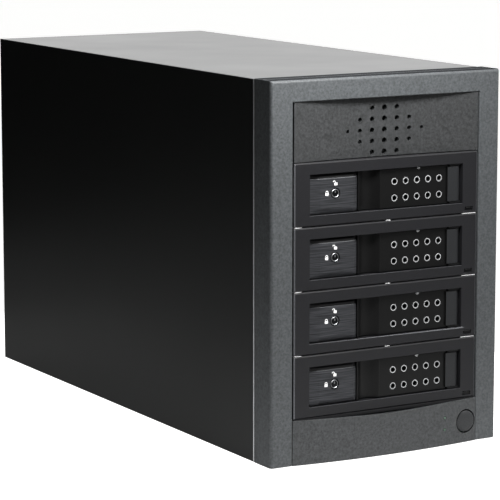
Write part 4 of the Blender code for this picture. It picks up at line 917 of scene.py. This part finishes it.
# --------------------------------------------------------------------- key locks
# A turned lock: a bright nickel ring round a dark plug with a narrow key slot.
NICKEL = bright_metal("turned_nickel_plate", "#b4b5b7", 0.45, (900.0, 60.0, 900.0))
PLUG = bright_metal("black_chromed_plug", "#3b3c3e", 0.32, (900.0, 60.0, 900.0))
RING_OUTER, RING_INNER = 0.0028, 0.0023
PLUG_SETBACK = 0.0005
for bay in range(1, 5):
    node = f"bay_{bay}_key_lock"
    low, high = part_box(node)
    centre = Vector(((low[0] + high[0]) / 2, low[1], (low[2] + high[2]) / 2))
    barrel = (high[0] - low[0]) / 2
    deep = high[1] - low[1]
    bm = bmesh.new()
    lathe_into(bm, ((RING_INNER, 0.0009), (RING_INNER + 0.00005, 0.00025), (RING_INNER + 0.0003, 0.0),
                    (RING_OUTER - 0.0002, 0.00005), (RING_OUTER + 0.0001, 0.0004),
                    (RING_OUTER + 0.0001, 0.0009), (RING_INNER, 0.0009)), centre, (0, 1, 0), 36)
    box_into(bm, centre + Vector((-0.00035, PLUG_SETBACK - 0.0003, 0.0002)),
             centre + Vector((0.00035, PLUG_SETBACK + 0.0003, 0.0017)))
    set_down(f"lock_ring_{bay}", bm, NICKEL, f"key_lock_{bay}")
    bm = bmesh.new()
    lathe_into(bm, ((0, PLUG_SETBACK), (RING_INNER - 0.00005, PLUG_SETBACK),
                    (RING_OUTER + 0.00015, 0.0006), (barrel - 0.0001, 0.0007),
                    (barrel, 0.0009), (barrel, deep), (0, deep)), centre, (0, 1, 0), 36)
    set_down(f"lock_plug_{bay}", bm, PLUG, f"key_lock_{bay}", (node,))

# ----------------------------------------------------------------------- handles
# The swing handle is black ABS with a scooped grip. Each hole of its screen has a
# bright rim pressed round it, and a small nub on top catches the pocket.
RIM_OUTER, RIM_INNER, RIM_PROUD = 0.00235, 0.00178, 0.00025
SCREEN_SETBACK = 0.0026    # screen behind the bay front
HOLES_X, HOLES_DROP = 0.0250, 0.0010
HOLE_PITCH_X, HOLE_PITCH_Z = 0.00903, 0.0112
NUB_X, NUB_RISE = 0.0260, 0.0129
NUB_CUT = 0.0004           # flat cut across the nub, above its middle
HANDLE_ABS = mottled_abs("satin_black_handle_abs", "#0b0b0b", "#101010", 0.30, 0.0008)
STRIP_FROM_X = 0.0504      # the handle's hinged end is coloured a paler grey: painted light
LIT_STRIP_ABS = mottled_abs("painted_light_charcoal_abs", "#1e1f20", "#27282a", 0.40, 0.0008)
RIM_SILVER_AND_NUB_HIGHLIGHT, tree, shader, _ = grained_finish("satin_silver_rims_and_nub_highlight", 1 / 3000, "#9fa0a1", "#c3c4c5", 0.45)
shader.inputs["Metallic"].default_value = 0.3
for bay in range(1, 5):
    bm = merged_copy(f"bay_{bay}_handle")
    soften(bm, 0.0002, 40)
    # The front faces of the hinged end take the paler grey: painted light.
    for face in bm.faces:
        if face.calc_center_median().x > STRIP_FROM_X and face.normal.y < -0.8:
            face.material_index = 1
    set_down(f"swing_handle_{bay}", bm, (HANDLE_ABS, LIT_STRIP_ABS), f"handle_{bay}",
             (f"bay_{bay}_handle",))
    # The rims stand round the holes, found from the screen's own place in the part.
    low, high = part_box(f"bay_{bay}_handle")
    screen_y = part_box(f"bay_{bay}_front")[0][1] + SCREEN_SETBACK
    middle = (low[2] + high[2]) / 2
    bm = bmesh.new()
    for row in (-0.5, 0.5):
        for column in range(-2, 3):
            spot = (HOLES_X + column * HOLE_PITCH_X, screen_y,
                    middle - HOLES_DROP + row * HOLE_PITCH_Z)
            lathe_into(bm, ((RIM_INNER, 0.0002), (RIM_INNER, -RIM_PROUD * 0.6),
                            (RIM_INNER + 0.0002, -RIM_PROUD), (RIM_OUTER - 0.0002, -RIM_PROUD),
                            (RIM_OUTER, -RIM_PROUD * 0.6), (RIM_OUTER, 0.0002),
                            (RIM_INNER, 0.0002)), spot, (0, 1, 0), 20)
    set_down(f"screen_rims_{bay}", bm, RIM_SILVER_AND_NUB_HIGHLIGHT, f"handle_{bay}")
    # The nub takes the rims' light silver, which shows it as a small bright spot on top of the screen:
    # a painted highlight.
    bm = bmesh.new()
    rod_into(bm, 0.0011, (NUB_X, screen_y - 0.0002, middle + NUB_RISE), 0.0012, "Y", 24)
    bmesh.ops.bisect_plane(bm, geom=[*bm.verts, *bm.edges, *bm.faces], dist=1e-6,
                           clear_inner=False, clear_outer=True,
                           plane_co=(0, 0, middle + NUB_RISE + NUB_CUT), plane_no=(0, 0, 1))
    bmesh.ops.holes_fill(bm, edges=bm.edges)
    soften(bm, 0.00015, 40, 2)
    set_down(f"catch_nub_{bay}", bm, RIM_SILVER_AND_NUB_HIGHLIGHT, f"handle_{bay}")
